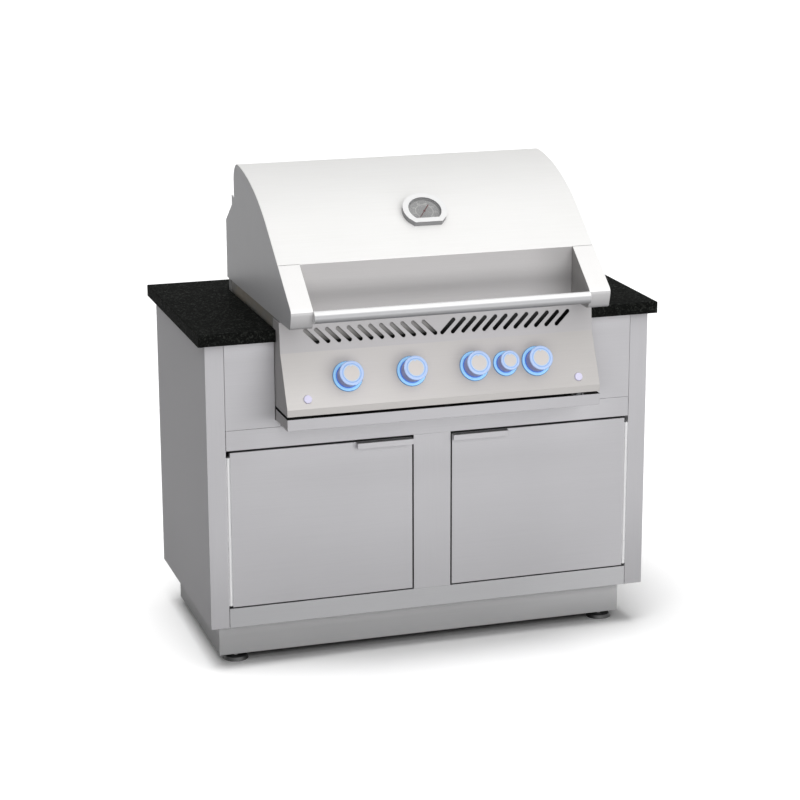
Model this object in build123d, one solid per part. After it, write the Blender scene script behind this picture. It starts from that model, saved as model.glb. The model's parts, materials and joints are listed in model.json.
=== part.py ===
from build123d import *

import os
from math import atan2, cos, degrees, pi, radians, sin, sqrt, tan

# Sheet metal
SHEET = 2.0  # folded stainless sheet
FLANGE = 30.0  # depth of the returns behind the front frame
RETURN = 20.0  # narrow return along the rear edge of a side panel

ROUND_SIDES = 16  # sides of small round pieces
KNOB_SIDES = 48
RING_SIDES = 40
HOLE_SIDES = 8  # hidden holes round the stems
WINDOW_SIDES = 32
BEZEL_SIDES = 48

# Cabinet
CABINET_W = 1164.0  # across the side panels
CABINET_D = 575.0  # front frame to rear edge
POST_W = 47.5  # front face of a side panel
BOTTOM_RAIL_H = 50.0
DOOR_OPENING_H = 412.0
TOP_RAIL_H = 51.0
FASCIA_H = 221.0  # grill shelf to worktop underside
MULLION_W = 98.0
TRAY_EDGE = 25.0  # upturned edge of the floor tray, downturned edge of the grill shelf
SEAM = 1.0  # shadow line between front panels
SEAM_DEEP = 6.0
SILL_CLEAR = 1.5  # sill under the drip tray's front

# Plinth and feet
FOOT_H = 16.0  # floor to plinth
PLINTH_H = 100.0
PLINTH_SIDE_IN = 36.0
PLINTH_FRONT_IN = 74.0
PLINTH_BACK_IN = 34.0
CORNER_PLATE = 90.0
CORNER_PLATE_T = 8.0
FOOT_SIDE_IN = 46.0  # stem centre from the plinth's side
FOOT_END_IN = 19.0  # stem centre from the plinth's front or back
PAD_R = 33.0
PAD_H = 9.0
PAD_TOP_R = 28.0
PAD_SIDES = 32
STEM_R = 6.0
STEM_L = 68.0
STEM_FIT = 0.1

# Worktop
WORKTOP_T = 30.0
WORKTOP_SIDE_OVER = 19.0
WORKTOP_FRONT_OVER = 17.5
WORKTOP_BACK_OVER = 17.5
WORKTOP_EDGE_R = 3.0

# Back panel openings
VENT_W = 110.0
VENT_H = 12.0
VENT_PITCH = 28.0
VENT_ROWS = 5
VENT_COLUMN_X = 330.0
VENT_TOP_IN = 90.0
SERVICE_W = 180.0
SERVICE_H = 110.0
SERVICE_UP = 70.0

# Doors
DOOR_T = 20.0
DOOR_SKIN = 1.5
DOOR_LINER_DEEP = 10.0
DOOR_TOP_GAP = 5.7
DOOR_BOTTOM_GAP = 4.0
DOOR_MULLION_GAP = 4.0
DOOR_HINGE_GAP = 10.0
PULL_L = 147.0
PULL_H = 15.0
PULL_OUT = 14.0
PULL_T = 1.5

# Piano hinges
KNUCKLE_R = 3.4
KNUCKLE_COUNT = 5
KNUCKLE_SIDES = 10
KNUCKLE_GAP = 0.4
HINGE_IN = 2.0  # pin centre behind the door's face
HINGE_TOP_IN = 12.0
HINGE_BOTTOM_IN = 4.0
LEAF_T = 1.2
POST_LEAF_D = 24.0
DOOR_LEAF_D = 16.0
PIN_R = 1.4
HINGE_FIT = 0.15

# Door catches
CATCH_L = 44.0
CATCH_H = 14.0
CATCH_D = 16.0
CATCH_IN = 20.0  # from the mullion

# Grill width and place
GRILL_W = 813.0
GRILL_GAP = 1.5  # grill to worktop and fascia panels
FIREBOX_FRONT = 14.0  # behind the cabinet's front
FIREBOX_D = 450.0
FIREBOX_SIDE_IN = 5.5  # inside the grill's width
CHASE_D = 22.0  # rear face of the grill behind the firebox

# Control panel
PANEL_RISE = 25.0  # top edge above the worktop
PANEL_TOP_OUT = 47.0
UPPER_FACE_H = 77.0
UPPER_FACE_OUT = 7.5
LOWER_FACE_H = 127.0
LOWER_FACE_OUT = 60.2
PANEL_LIP = 17.5
SLOT_COUNT = 12
SLOT_PITCH = 27.5
SLOT_W = 10.0
SLOT_END = 3.0  # cut-off corners at a slot's ends
SLOT_LEAN = 30.0
SLOT_TALL = 30.0
SLOT_DOWN = 39.5  # slot middle below the panel's top edge
SLOT_INNER_X = 24.0  # middle of the innermost slot from the centre line

# Knobs, valves and buttons
KNOB_PITCH = 163.5
KNOB_UP = 72.4  # knob axis above the lower fold, along the face
KNOB_R = 31.0
SMALL_KNOB_R = 25.0
KNOB_TOP = 43.0  # knob face in front of the panel
KNOB_CLEAR = 5.0  # under the knob's skirt
KNOB_FLARE = 3.0  # waist of the knob inside its face radius
KNOB_BEVEL = 2.5
KNOB_SOCKET = 6.0  # wall of the knob ahead of its stem
RING_W = 5.0
RING_GAP = 2.0
RING_H = 1.2
STEM_HOLE_R = 7.0
VALVE_STEM_W = 6.0
VALVE_STEM_FIT = 0.1
VALVE_STEM_IN = 30.0
PLUG_R = 9.0
PLUG_L = 43.0
PLUG_IN = 1.0
VALVE_W = 30.0
VALVE_L = 50.0
INLET_BOSS_W = 14.0
INLET_BOSS_H = 5.0
SPUD_R = 4.0
SPUD_L = 10.0
RUNNING_FIT = 0.05
BUTTON_SIDE_IN = 54.5  # inside the grill's width
BUTTON_UP = 23.8
BUTTON_R = 10.0
BUTTON_OUT = 4.5
BUTTON_L = 14.0
BUTTON_FIT = 0.3
BUTTON_TRAVEL = 2.0
BUTTON_HOUSING_R = 15.0
BUTTON_BACK = 2.0

# Gas pipes
MANIFOLD_W = 22.0
MANIFOLD_BACK = 36.0  # manifold centre behind the panel's face
MANIFOLD_END = 30.0  # manifold beyond the outer valves
INLET_PIPE_R = 8.0
INLET_PIPE_BACK = 100.0
INLET_PIPE_DROP = 34.0  # below the grill shelf
INLET_NUT_R = 13.0
INLET_NUT_L = 20.0
INLET_HOLE_R = 12.0
LINE_R = 4.0
LINE_APART = 21.0  # rear burner line beside the inlet pipe
LINE_LEAD = 24.0  # straight start of the rear burner line behind its valve
PIPE_UP = 31.0  # pipes above the grill shelf
LINE_DROP_UP = 71.0  # rear burner line above the shelf where it leaves its valve

# Drip tray and cradle
TRAY_GAP = 5.5
TRAY_FRONT_H = 29.5
PAN_DEEP = 24.0
PAN_BACK_IN = 24.0  # ahead of the firebox's rear face
PAN_RIM = 17.0
RUNNER_LEDGE = 18.0
CRADLE_LAP = 20.0  # cradle wall up the side of the firebox
CRADLE_FOOT_W = 64.0  # cradle's foot between the tray's runner and the firebox wall
RUNNER_SIDE_GAP = 3.0
TRAY_FIT = 0.3

# Firebox
FIREBOX_RISE = 28.0  # rim above the worktop
BURNER_DOWN = 25.0  # lower edge of the walls below the burners' axis
HOPPER_H = 27.0
HOPPER_SIDE_IN = 18.0  # hopper's mouth inside the tray's pan
HOPPER_END_IN = 46.0
GRID_LEDGE_DOWN = 28.0  # below the rim
TAMER_LEDGE_UP = 35.0  # above the burners' axis
LEDGE_W = 13.0

# Burners, tamers, grids
BURNER_R = 13.0
BURNER_WALL = 1.5
BURNER_OUT = 36.0  # venturi in front of the firebox
BURNER_FIT = 0.3
TAMER_W = 120.0
TAMER_H = 34.0
TAMER_T = 1.5
GRID_COUNT = 3
GRID_BARS = 12
GRID_BAR_W = 9.0
GRID_BAR_H = 8.0
GRID_BORDER = 24.0
GRID_GAP = 3.0

# Hood
HOOD_SIDE_OVER = 1.0  # hood beyond the grill's width
HOOD_CLEAR = 5.0  # hood's lower edge above the panel's top
HOOD_LIP_OUT = 47.5  # apron in front of the cabinet
HOOD_LIP_UP = 166.0  # lower edge of the curved sheet above the worktop
HOOD_SLOPE = 36.5
HOOD_TOP_SLOPE = 5.5
HOOD_FRONT_L = 281.0  # lower edge to the corner that the big bend rounds
HOOD_CORNER_R = 45.0
HOOD_TOP_FLAT = 7.0  # between the big bend and the tight corner
HOOD_BACK_IN = 11.0  # rear wall ahead of the pivot
HOOD_BACK_UP = 14.0  # lower edge of the rear wall above the pivot
APRON_FOLD = 26.0
END_T = 3.0
CHEEK_W = 55.0
CHEEK_L = 153.0
CHEEK_BOTTOM_OUT = 158.0
CHEEK_NOSE_R = 16.0
CHEEK_HEEL_R = 11.0
CHEEK_SEAM = 2.0
CHEEK_WALL = 4.0
PIVOT_IN = 83.0  # ahead of the grill's rear face
PIVOT_UP = 247.0  # above the worktop
LUG_REACH = 14.0  # lug behind the pivot
LUG_HALF = 13.0
LUG_NOTCH = 6.0
SLANT_DOWN = 64.0  # rear end of the slanted edge below the pivot
STUD_R = 4.0
STUD_L = 10.0
HANDLE_R = 15.0
HANDLE_WALL = 2.0
HANDLE_IN = 3.49  # handle's axis behind the cheeks' nose
HANDLE_DOWN = 15.49  # and below it

# Hood thermometer
THERMO_UP = 142.0  # centre above the sheet's lower edge, along the sheet
BEZEL_R = 56.5
BEZEL_FLAT = 70.5
BEZEL_FLAT_DOWN = 43.5
BEZEL_CORNER_X = 49.0  # outer end of a cut lower corner
BEZEL_H = 14.0
BEZEL_SEAT = 8.0
WINDOW_R = 40.0
WINDOW_FLAT_DOWN = 28.0
DIAL_DEEP = 9.0
DIAL_T = 1.0
DIAL_FIT = 0.3
GLASS_T = 2.0
GLASS_DEEP = 4.0
GLASS_LEDGE = 2.0
PROBE_R = 4.0
PROBE_L = 88.0
NEEDLE_L = 32.0
NEEDLE_TAIL = 25.0
NEEDLE_W = 3.0
NEEDLE_T = 0.8
NEEDLE_ANGLE = 217.0  # cold end of the scale, clockwise from twelve o'clock
NEEDLE_UP = 1.2  # above the dial
HUB_R = 5.0
DIAL_PIN_R = 1.5

# Rear housing, rear burner and warming rack
HOUSING_GAP = 1.5
HOUSING_CLEAR = 4.0  # behind the hood's rear wall
HOUSING_TOP_UP = 7.0  # above the pivot
HOUSING_TOP_BACK = 8.0  # behind the pivot
HOUSING_SLANT_TOP = 15.0  # below the pivot
HOUSING_SLANT_IN = 5.0  # below the hood's slanted edge
CHASE_DOWN = 80.0
REAR_BURNER_SIDE_IN = 43.0  # inside the housing's width
REAR_BURNER_H = 130.0
REAR_BURNER_UP = 140.0  # centre above the worktop
REAR_BURNER_D = 40.0
REAR_BURNER_RIM = 7.0
TILE_T = 12.0
TILE_IN = 10.0
RACK_SIDE_IN = 31.0  # inside the firebox's width
RACK_D = 84.0
RACK_BACK_IN = 16.0  # ahead of the rear housing
RACK_UP = 150.0
RACK_BAR = 5.0
RACK_BARS = 25
RACK_LEG_W = 20.0

# Levels and half widths worked out from the sizes above
half = CABINET_W / 2
opening_x = half - POST_W
z_base = FOOT_H + PLINTH_H
z_door0 = z_base + BOTTOM_RAIL_H
z_door1 = z_door0 + DOOR_OPENING_H
z_shelf = z_door1 + TOP_RAIL_H
z_top = z_shelf + FASCIA_H
z_work = z_top + WORKTOP_T
back_inner = CABINET_D - 2 * SHEET
grill_x = GRILL_W / 2
cut_x = grill_x + GRILL_GAP
fire_x = grill_x - FIREBOX_SIDE_IN
fire_back = FIREBOX_FRONT + FIREBOX_D
grill_back = fire_back + CHASE_D
pan_x = fire_x + SHEET - CRADLE_FOOT_W - RUNNER_LEDGE - RUNNER_SIDE_GAP
inlet_x = fire_x + SHEET - CRADLE_FOOT_W / 2
button_x = grill_x - BUTTON_SIDE_IN
hood_x = grill_x + HOOD_SIDE_OVER
panel_top = z_work + PANEL_RISE
fold_1 = (-PANEL_TOP_OUT - UPPER_FACE_OUT, panel_top - UPPER_FACE_H)
fold_2 = (fold_1[0] - LOWER_FACE_OUT, fold_1[1] - LOWER_FACE_H)
panel_low = fold_2[1] - PANEL_LIP
panel_front = fold_2[0]
tray_top = panel_low - TRAY_GAP
hood_low = panel_top + HOOD_CLEAR
pivot = Vector(grill_back - PIVOT_IN, z_work + PIVOT_UP)
hood_back = pivot.X - HOOD_BACK_IN
housing_front = hood_back + HOUSING_CLEAR
slant_low = pivot.Y - SLANT_DOWN
work_front = -WORKTOP_FRONT_OVER
work_back = CABINET_D + WORKTOP_BACK_OVER
hood_lip = Vector(-HOOD_LIP_OUT, z_work + HOOD_LIP_UP)
slope = Vector(cos(radians(HOOD_SLOPE)), sin(radians(HOOD_SLOPE)))
nose = hood_lip - slope * CHEEK_L
handle = nose + Vector(HANDLE_IN, -HANDLE_DOWN)
y_mid = (work_back + handle.X - HANDLE_R) / 2


def block(x0, x1, y0, y1, z0, z1):
    """A straight block between two corners."""
    return Pos(x0, y0, z0) * Box(x1 - x0, y1 - y0, z1 - z0, align=(Align.MIN,) * 3)


def pan(solid, open_axis, wall, last=True):
    """A folded pan: the block's walls, open at one end of an axis."""
    faces = solid.faces().sort_by(open_axis)
    return offset(solid, amount=-wall, openings=faces[-1] if last else faces[0])


def outline(points):
    """A closed face through the points."""
    return make_face(Polyline(*points, close=True))


def strip(points, thickness):
    """The section of a folded sheet: its skin's points, thick to the left of the path."""
    skin = [Vector(*point) for point in points]
    sides = [(b - a).normalized().rotate(Axis.Z, 90) for a, b in zip(skin, skin[1:])]
    inner = [skin[0] + sides[0] * thickness]
    for corner, before, after in zip(skin[1:], sides, sides[1:]):
        inner.append(corner + (before + after) * (thickness / (1 + before.dot(after))))
    inner.append(skin[-1] + sides[-1] * thickness)
    return outline([*skin, *reversed(inner)])


def along_x(face, x0, x1):
    """A Y-Z section drawn out along X."""
    plane = Plane(origin=(x0, 0, 0), x_dir=(0, 1, 0), z_dir=(1, 0, 0))
    return extrude(plane * face, x1 - x0, dir=(1, 0, 0))


def along_y(face, y0, y1):
    """An X-Z section drawn out along Y."""
    plane = Plane(origin=(0, y0, 0), x_dir=(1, 0, 0), z_dir=(0, -1, 0))
    return extrude(plane * face, y1 - y0, dir=(0, 1, 0))


def along_z(face, z0, z1):
    """An X-Y section drawn out along Z."""
    return extrude(Pos(0, 0, z0) * face, z1 - z0, dir=(0, 0, 1))


def both_hands(solid):
    """A right-hand piece and its mirror image on the left."""
    return [mirror(solid, about=Plane.YZ), solid]


def disc(radius, w0, w1):
    """A cylinder about the local Z axis."""
    return Pos(0, 0, w0) * Cylinder(radius, w1 - w0, align=(Align.CENTER, Align.CENTER, Align.MIN))


def bar(radius, w0, w1, sides=ROUND_SIDES, inscribed=True):
    """A many-sided bar about the local Z axis, drawn inside or round its circle."""
    return Pos(0, 0, w0) * extrude(RegularPolygon(radius, sides, major_radius=inscribed), w1 - w0)


def frustum(r0, r1, w0, w1, sides):
    """A many-sided bar that narrows from one radius to another, up or down."""
    inset = (r0 - r1) * cos(pi / sides)
    taper = degrees(atan2(inset, abs(w1 - w0)))
    turn = 0 if w1 > w0 else 180
    return Pos(0, 0, w0) * Rot(turn, 0, 0) * extrude(RegularPolygon(r0, sides), abs(w1 - w0), taper=taper)


def square(width, w0, w1):
    """A square bar about the local Z axis."""
    return Pos(0, 0, w0) * Box(width, width, w1 - w0, align=(Align.CENTER, Align.CENTER, Align.MIN))


def save(node, *shapes):
    """Write a node's solids, moved so that the origin is under the object's middle."""
    solids = [solid for shape in shapes for solid in shape.solids()]
    placed = [Pos(0, -y_mid, 0) * solid for solid in solids]
    export_step(placed[0] if len(placed) == 1 else Compound(placed), f"parts/{node}.step")


os.makedirs("parts", exist_ok=True)


# Cabinet shell
def side_panel():
    """Right side: rear return, wall, front post and the post's inner flange."""
    path = [
        (half - RETURN, CABINET_D),
        (half, CABINET_D),
        (half, 0),
        (opening_x, 0),
        (opening_x, FLANGE),
    ]
    return along_z(strip(path, -SHEET), z_base, z_top)


def front_rail(z0, z1):
    """A channel between the posts, open to the rear."""
    path = [(FLANGE, z0), (0, z0), (0, z1), (FLANGE, z1)]
    rail = along_x(strip(path, -SHEET), -opening_x, opening_x)
    for seam in both_hands(block(opening_x - SEAM, opening_x, 0, SEAM_DEEP, z0, z1)):
        rail -= seam
    return rail


def mullion():
    """An upright channel between the door openings."""
    edge = MULLION_W / 2
    path = [(-edge, FLANGE), (-edge, 0), (edge, 0), (edge, FLANGE)]
    return along_z(strip(path, SHEET), z_door0, z_door1)


def back_panel():
    """Flat sheet with vent rows near the top and a service opening near the floor."""
    inner = half - SHEET
    sheet = block(-inner, inner, back_inner, back_inner + SHEET, z_base, z_top)
    for side in (-1, 1):
        for row in range(VENT_ROWS):
            z = z_shelf - VENT_TOP_IN - row * VENT_PITCH
            vent = Box(VENT_W, 4 * SHEET, VENT_H)
            sheet -= Pos(side * VENT_COLUMN_X, back_inner, z) * vent
    service = Box(SERVICE_W, 4 * SHEET, SERVICE_H)
    return sheet - Pos(0, back_inner, z_base + SERVICE_UP + SERVICE_H / 2) * service


def plinth():
    """Welded frame with a thick plate in each corner for a foot's stem."""
    x1 = half - PLINTH_SIDE_IN
    y0, y1 = PLINTH_FRONT_IN, CABINET_D - PLINTH_BACK_IN
    frame = block(-x1, x1, y0, y1, FOOT_H, z_base)
    frame -= block(-x1 + SHEET, x1 - SHEET, y0 + SHEET, y1 - SHEET, 0, z_base + SHEET)
    plate = Box(CORNER_PLATE, CORNER_PLATE, CORNER_PLATE_T)
    for sx in (-1, 1):
        for y_edge, sy in ((y0, 1), (y1, -1)):
            x = sx * (x1 - CORNER_PLATE / 2)
            y = y_edge + sy * CORNER_PLATE / 2
            frame += Pos(x, y, FOOT_H + CORNER_PLATE_T / 2) * plate
    for x, y in foot_places().values():
        frame -= Pos(x, y, 0) * bar(STEM_R + STEM_FIT, 0, z_base, inscribed=False)
    return frame


def foot_places():
    """Where each foot's stem stands."""
    x = half - PLINTH_SIDE_IN - FOOT_SIDE_IN
    front = PLINTH_FRONT_IN + FOOT_END_IN
    rear = CABINET_D - PLINTH_BACK_IN - FOOT_END_IN
    return {
        "foot_front_left": (-x, front),
        "foot_front_right": (x, front),
        "foot_rear_left": (-x, rear),
        "foot_rear_right": (x, rear),
    }


def foot():
    """A pad with sloping sides and the stem that screws into the plinth."""
    pad = frustum(PAD_R, PAD_TOP_R, 0, PAD_H, PAD_SIDES)
    return [pad, bar(STEM_R, PAD_H, PAD_H + STEM_L)]


def worktop():
    """Left, right and rear slabs with eased outer edges."""
    x1 = half + WORKTOP_SIDE_OVER
    right = block(cut_x, x1, work_front, work_back, z_top, z_work)
    edges = right.edges().filter_by_position(Axis.Z, z_work, z_work)
    right = fillet(edges.sort_by(Axis.X)[1:], WORKTOP_EDGE_R)
    rear = block(-cut_x, cut_x, grill_back + GRILL_GAP, work_back, z_top, z_work)
    edges = rear.edges().filter_by_position(Axis.Z, z_work, z_work)
    rear = fillet(edges.sort_by(Axis.Y)[-1], WORKTOP_EDGE_R)
    return [*both_hands(right), rear]


def fascia():
    """Right fascia panel, with a shadow line along the post and the top rail."""
    panel = pan(block(cut_x, opening_x, 0, FLANGE, z_shelf, z_top), Axis.Y, SHEET)
    panel -= block(opening_x - SEAM, opening_x, 0, SEAM_DEEP, z_shelf, z_top)
    return panel - block(cut_x, opening_x, 0, SEAM_DEEP, z_shelf, z_shelf + SEAM)


def sill():
    """The strip that joins the fascia panels under the drip tray's front."""
    path = [(FLANGE, z_shelf), (0, z_shelf), (0, tray_top - TRAY_FRONT_H - SILL_CLEAR)]
    folded = along_x(strip(path, -SHEET), -cut_x, cut_x)
    return folded - block(-cut_x, cut_x, 0, SEAM_DEEP, z_shelf, z_shelf + SEAM)


floor_tray = block(-half + SHEET, half - SHEET, FLANGE, back_inner, z_base, z_base + TRAY_EDGE)
shelf_box = block(-half + SHEET, half - SHEET, FLANGE, back_inner, z_shelf - TRAY_EDGE, z_shelf)
inlet_hole = Pos(inlet_x, INLET_PIPE_BACK, z_shelf) * Cylinder(INLET_HOLE_R, 4 * TRAY_EDGE)
left_side, right_side = both_hands(side_panel())

save("left_side_panel", left_side)
save("right_side_panel", right_side)
save("front_rails", front_rail(z_base, z_door0), front_rail(z_door1, z_shelf))
save("mullion", mullion())
save("fascia_panels", *both_hands(fascia()), sill())
save("back_panel", back_panel())
save("floor_tray", pan(floor_tray, Axis.Z, SHEET))
save("grill_shelf", pan(shelf_box, Axis.Z, SHEET, last=False) - inlet_hole)
save("plinth", plinth())
for name, (foot_x, foot_y) in foot_places().items():
    save(name, *[Pos(foot_x, foot_y, 0) * piece for piece in foot()])
save("worktop", *worktop())

# Doors, right hand: hinged on the right post, free edge at the mullion
door_x0 = MULLION_W / 2 + DOOR_MULLION_GAP
door_x1 = opening_x - DOOR_HINGE_GAP
door_z0 = z_door0 + DOOR_BOTTOM_GAP
door_z1 = z_door1 - DOOR_TOP_GAP
hinge_x = opening_x - DOOR_HINGE_GAP / 2


def door_skin():
    """The door's outer pan, open at the back."""
    return pan(block(door_x0, door_x1, 0, DOOR_T, door_z0, door_z1), Axis.Y, DOOR_SKIN)


def door_liner():
    """The inner pan that closes the door's back."""
    x0, x1 = door_x0 + DOOR_SKIN, door_x1 - DOOR_SKIN
    z0, z1 = door_z0 + DOOR_SKIN, door_z1 - DOOR_SKIN
    return pan(block(x0, x1, DOOR_T - DOOR_LINER_DEEP, DOOR_T, z0, z1), Axis.Y, DOOR_SKIN, last=False)


def door_pull():
    """A folded finger pull: one leg on the door's face, a flat top and a lip hanging in front."""
    low = door_z1 - PULL_H
    hook = [(0, low), (0, door_z1), (-PULL_OUT, door_z1), (-PULL_OUT, low)]
    return along_x(strip(hook, PULL_T), door_x0, door_x0 + PULL_L)


def hinge_leaf(plate_x, toward, depth, first, bore):
    """One leaf of the piano hinge with every second knuckle."""
    z0, z1 = door_z0 + HINGE_BOTTOM_IN, door_z1 - HINGE_TOP_IN
    step = (z1 - z0) / KNUCKLE_COUNT
    inner_x = plate_x + toward * LEAF_T
    knuckle_back = HINGE_IN + KNUCKLE_R * cos(pi / KNUCKLE_SIDES)
    leaf = block(*sorted((plate_x, inner_x)), HINGE_IN, HINGE_IN + depth, z0, z1)
    for index in range(first, KNUCKLE_COUNT, 2):
        low = z0 + index * step + KNUCKLE_GAP / 2
        high = low + step - KNUCKLE_GAP
        leaf += block(*sorted((hinge_x, inner_x)), knuckle_back - LEAF_T, knuckle_back, low, high)
        leaf += Pos(hinge_x, HINGE_IN, 0) * bar(KNUCKLE_R, low, high, KNUCKLE_SIDES)
    return leaf - Pos(hinge_x, HINGE_IN, 0) * bar(bore, z0, z1, KNUCKLE_SIDES, inscribed=False)


def hinge_pin():
    """The pin through all knuckles."""
    low, high = door_z0 + HINGE_BOTTOM_IN, door_z1 - HINGE_TOP_IN
    return Pos(hinge_x, HINGE_IN, 0) * bar(PIN_R, low, high, KNUCKLE_SIDES, inscribed=False)


def door_catch():
    """A magnetic catch under the top rail, just behind the closed door."""
    x0 = MULLION_W / 2 + CATCH_IN
    y0 = DOOR_T + TRAY_FIT
    return block(x0, x0 + CATCH_L, y0, y0 + CATCH_D, z_door1 - CATCH_H, z_door1)


pieces = {
    "skin": door_skin(),
    "liner": door_liner(),
    "pull": door_pull(),
    "hinge_leaf": hinge_leaf(door_x1, 1, DOOR_LEAF_D, 1, PIN_R + HINGE_FIT),
}
for piece, solid in pieces.items():
    left_piece, right_piece = both_hands(solid)
    save(f"door_left_{piece}", left_piece)
    save(f"door_right_{piece}", right_piece)
post_leaf = hinge_leaf(opening_x, -1, POST_LEAF_D, 0, PIN_R)
left_leaf, right_leaf = both_hands(post_leaf)
left_pin, right_pin = both_hands(hinge_pin())
save("post_left_hinge_leaf", left_leaf, left_pin)
save("post_right_hinge_leaf", right_leaf, right_pin)
save("door_catches", *both_hands(door_catch()))

# Control panel: near-upright upper face with air slots, leaning lower face with the knobs
panel_skin = [
    (FIREBOX_FRONT, panel_top),
    (-PANEL_TOP_OUT, panel_top),
    fold_1,
    fold_2,
    (panel_front, panel_low),
]
lower_face_l = sqrt(LOWER_FACE_OUT**2 + LOWER_FACE_H**2)
lower_up = (LOWER_FACE_OUT / lower_face_l, LOWER_FACE_H / lower_face_l)
upper_face_l = sqrt(UPPER_FACE_OUT**2 + UPPER_FACE_H**2)
upper_up = (UPPER_FACE_OUT / upper_face_l, UPPER_FACE_H / upper_face_l)
big_knob_x = [(index - 1.5) * KNOB_PITCH for index in range(4)]
knobs = sorted([(x, KNOB_R) for x in big_knob_x] + [(KNOB_PITCH, SMALL_KNOB_R)])


def on_lower_face(x, up):
    """The plane at a point of the leaning face, its Z axis pointing out of the panel."""
    origin = (x, fold_2[0] + up * lower_up[0], fold_2[1] + up * lower_up[1])
    return Plane(origin=origin, x_dir=(1, 0, 0), z_dir=(0, -lower_up[1], lower_up[0]))


def on_upper_face(x, down):
    """The plane at a point of the upper face, its Z axis pointing out of the panel."""
    origin = (x, -PANEL_TOP_OUT - down * upper_up[0], panel_top - down * upper_up[1])
    return Plane(origin=origin, x_dir=(1, 0, 0), z_dir=(0, -upper_up[1], upper_up[0]))


def control_panel():
    """Folded sheet with two end plates, air slots, stem holes and button holes."""
    panel = along_x(strip(panel_skin, SHEET), -grill_x, grill_x)
    end = outline([*panel_skin, (FIREBOX_FRONT, panel_low)])
    for plate in both_hands(along_x(end, grill_x - SHEET, grill_x)):
        panel += plate
    slot = Rectangle(sqrt(SLOT_LEAN**2 + SLOT_TALL**2) + SLOT_W, SLOT_W)
    slot = chamfer(slot.vertices(), SLOT_END)
    for side in (-1, 1):
        for index in range(SLOT_COUNT):
            plane = on_upper_face(side * (SLOT_INNER_X + index * SLOT_PITCH), SLOT_DOWN)
            angle = side * Vector(SLOT_LEAN, SLOT_TALL).get_angle(Vector(1, 0))
            cut = plane * (Rot(0, 0, angle) * slot)
            panel -= extrude(cut, 2 * SHEET, both=True)
    for x, _ in knobs:
        panel -= on_lower_face(x, KNOB_UP) * bar(STEM_HOLE_R, -2 * SHEET, SHEET, HOLE_SIDES)
    for side in (-1, 1):
        plane = on_lower_face(side * button_x, BUTTON_UP)
        panel -= plane * bar(BUTTON_R + BUTTON_FIT, -2 * SHEET, SHEET, inscribed=False)
    return panel


def light_ring(radius):
    """The lit round base under a knob, bored for its stem."""
    return bar(radius + RING_GAP + RING_W, 0, RING_H, RING_SIDES) - bar(STEM_HOLE_R, 0, RING_H, HOLE_SIDES)


def knob(radius):
    """A knob that widens towards its bevelled face, on a square stem."""
    rim_z = KNOB_TOP - KNOB_BEVEL
    body = frustum(radius, radius - KNOB_FLARE, rim_z, KNOB_CLEAR, KNOB_SIDES)
    body += frustum(radius, radius - KNOB_BEVEL, rim_z, KNOB_TOP, KNOB_SIDES)
    stem = square(VALVE_STEM_W, -VALVE_STEM_IN, KNOB_TOP - KNOB_SOCKET)
    return [body - stem, stem]


def valve_plug():
    """The plug that the stem turns, with the stem's socket in its front."""
    socket = VALVE_STEM_IN + KNOB_CLEAR
    plug = bar(PLUG_R, -SHEET - PLUG_IN - PLUG_L, -SHEET - PLUG_IN)
    return plug - square(VALVE_STEM_W + 2 * VALVE_STEM_FIT, -socket, 0)


def valve_body():
    """A square valve body on the back of the panel with its inlet boss and outlet spud."""
    rear = -SHEET - VALVE_L
    body = square(VALVE_W, rear, -SHEET)
    boss = Box(INLET_BOSS_W, INLET_BOSS_H, INLET_BOSS_W)
    body += Pos(0, -(VALVE_W + INLET_BOSS_H) / 2, -MANIFOLD_BACK) * boss
    body += bar(SPUD_R, rear - SPUD_L, rear, sides=6)
    seat = -SHEET - PLUG_IN - PLUG_L - PLUG_IN
    return body - bar(PLUG_R + RUNNING_FIT, seat, 0, inscribed=False)


def button():
    """A straight push button that stands out of the panel."""
    return bar(BUTTON_R, BUTTON_OUT - BUTTON_L, BUTTON_OUT, PAD_SIDES)


def button_housing():
    """A six-sided switch housing on the back of the panel that guides a button."""
    deep = BUTTON_L - BUTTON_OUT + BUTTON_TRAVEL + BUTTON_BACK
    housing = bar(BUTTON_HOUSING_R, -deep - BUTTON_BACK, -SHEET, sides=6)
    return housing - bar(BUTTON_R + BUTTON_FIT, -deep, 0, inscribed=False)


save("control_panel", control_panel())
save("knob_light_rings", *[on_lower_face(x, KNOB_UP) * light_ring(r) for x, r in knobs])
for number, (knob_x, knob_r) in enumerate(knobs, 1):
    seat = on_lower_face(knob_x, KNOB_UP)
    save(f"knob_{number}", *[seat * piece for piece in knob(knob_r)])
    save(f"valve_plug_{number}", seat * valve_plug())
save("gas_valves", *[on_lower_face(x, KNOB_UP) * valve_body() for x, _ in knobs])
for name, side in (("button_left", -1), ("button_right", 1)):
    save(name, on_lower_face(side * button_x, BUTTON_UP) * button())
save("button_housings", *[on_lower_face(s * button_x, BUTTON_UP) * button_housing() for s in (-1, 1)])

# Firebox, its cradle and the drip tray
rim = z_work + FIREBOX_RISE
spud_tip = on_lower_face(0, KNOB_UP).origin - on_lower_face(0, KNOB_UP).z_dir * (SHEET + VALVE_L + SPUD_L)
burner_z = spud_tip.Z
tamer_z = burner_z + TAMER_LEDGE_UP
wall_low = burner_z - BURNER_DOWN
hopper_low = wall_low - HOPPER_H


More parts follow.
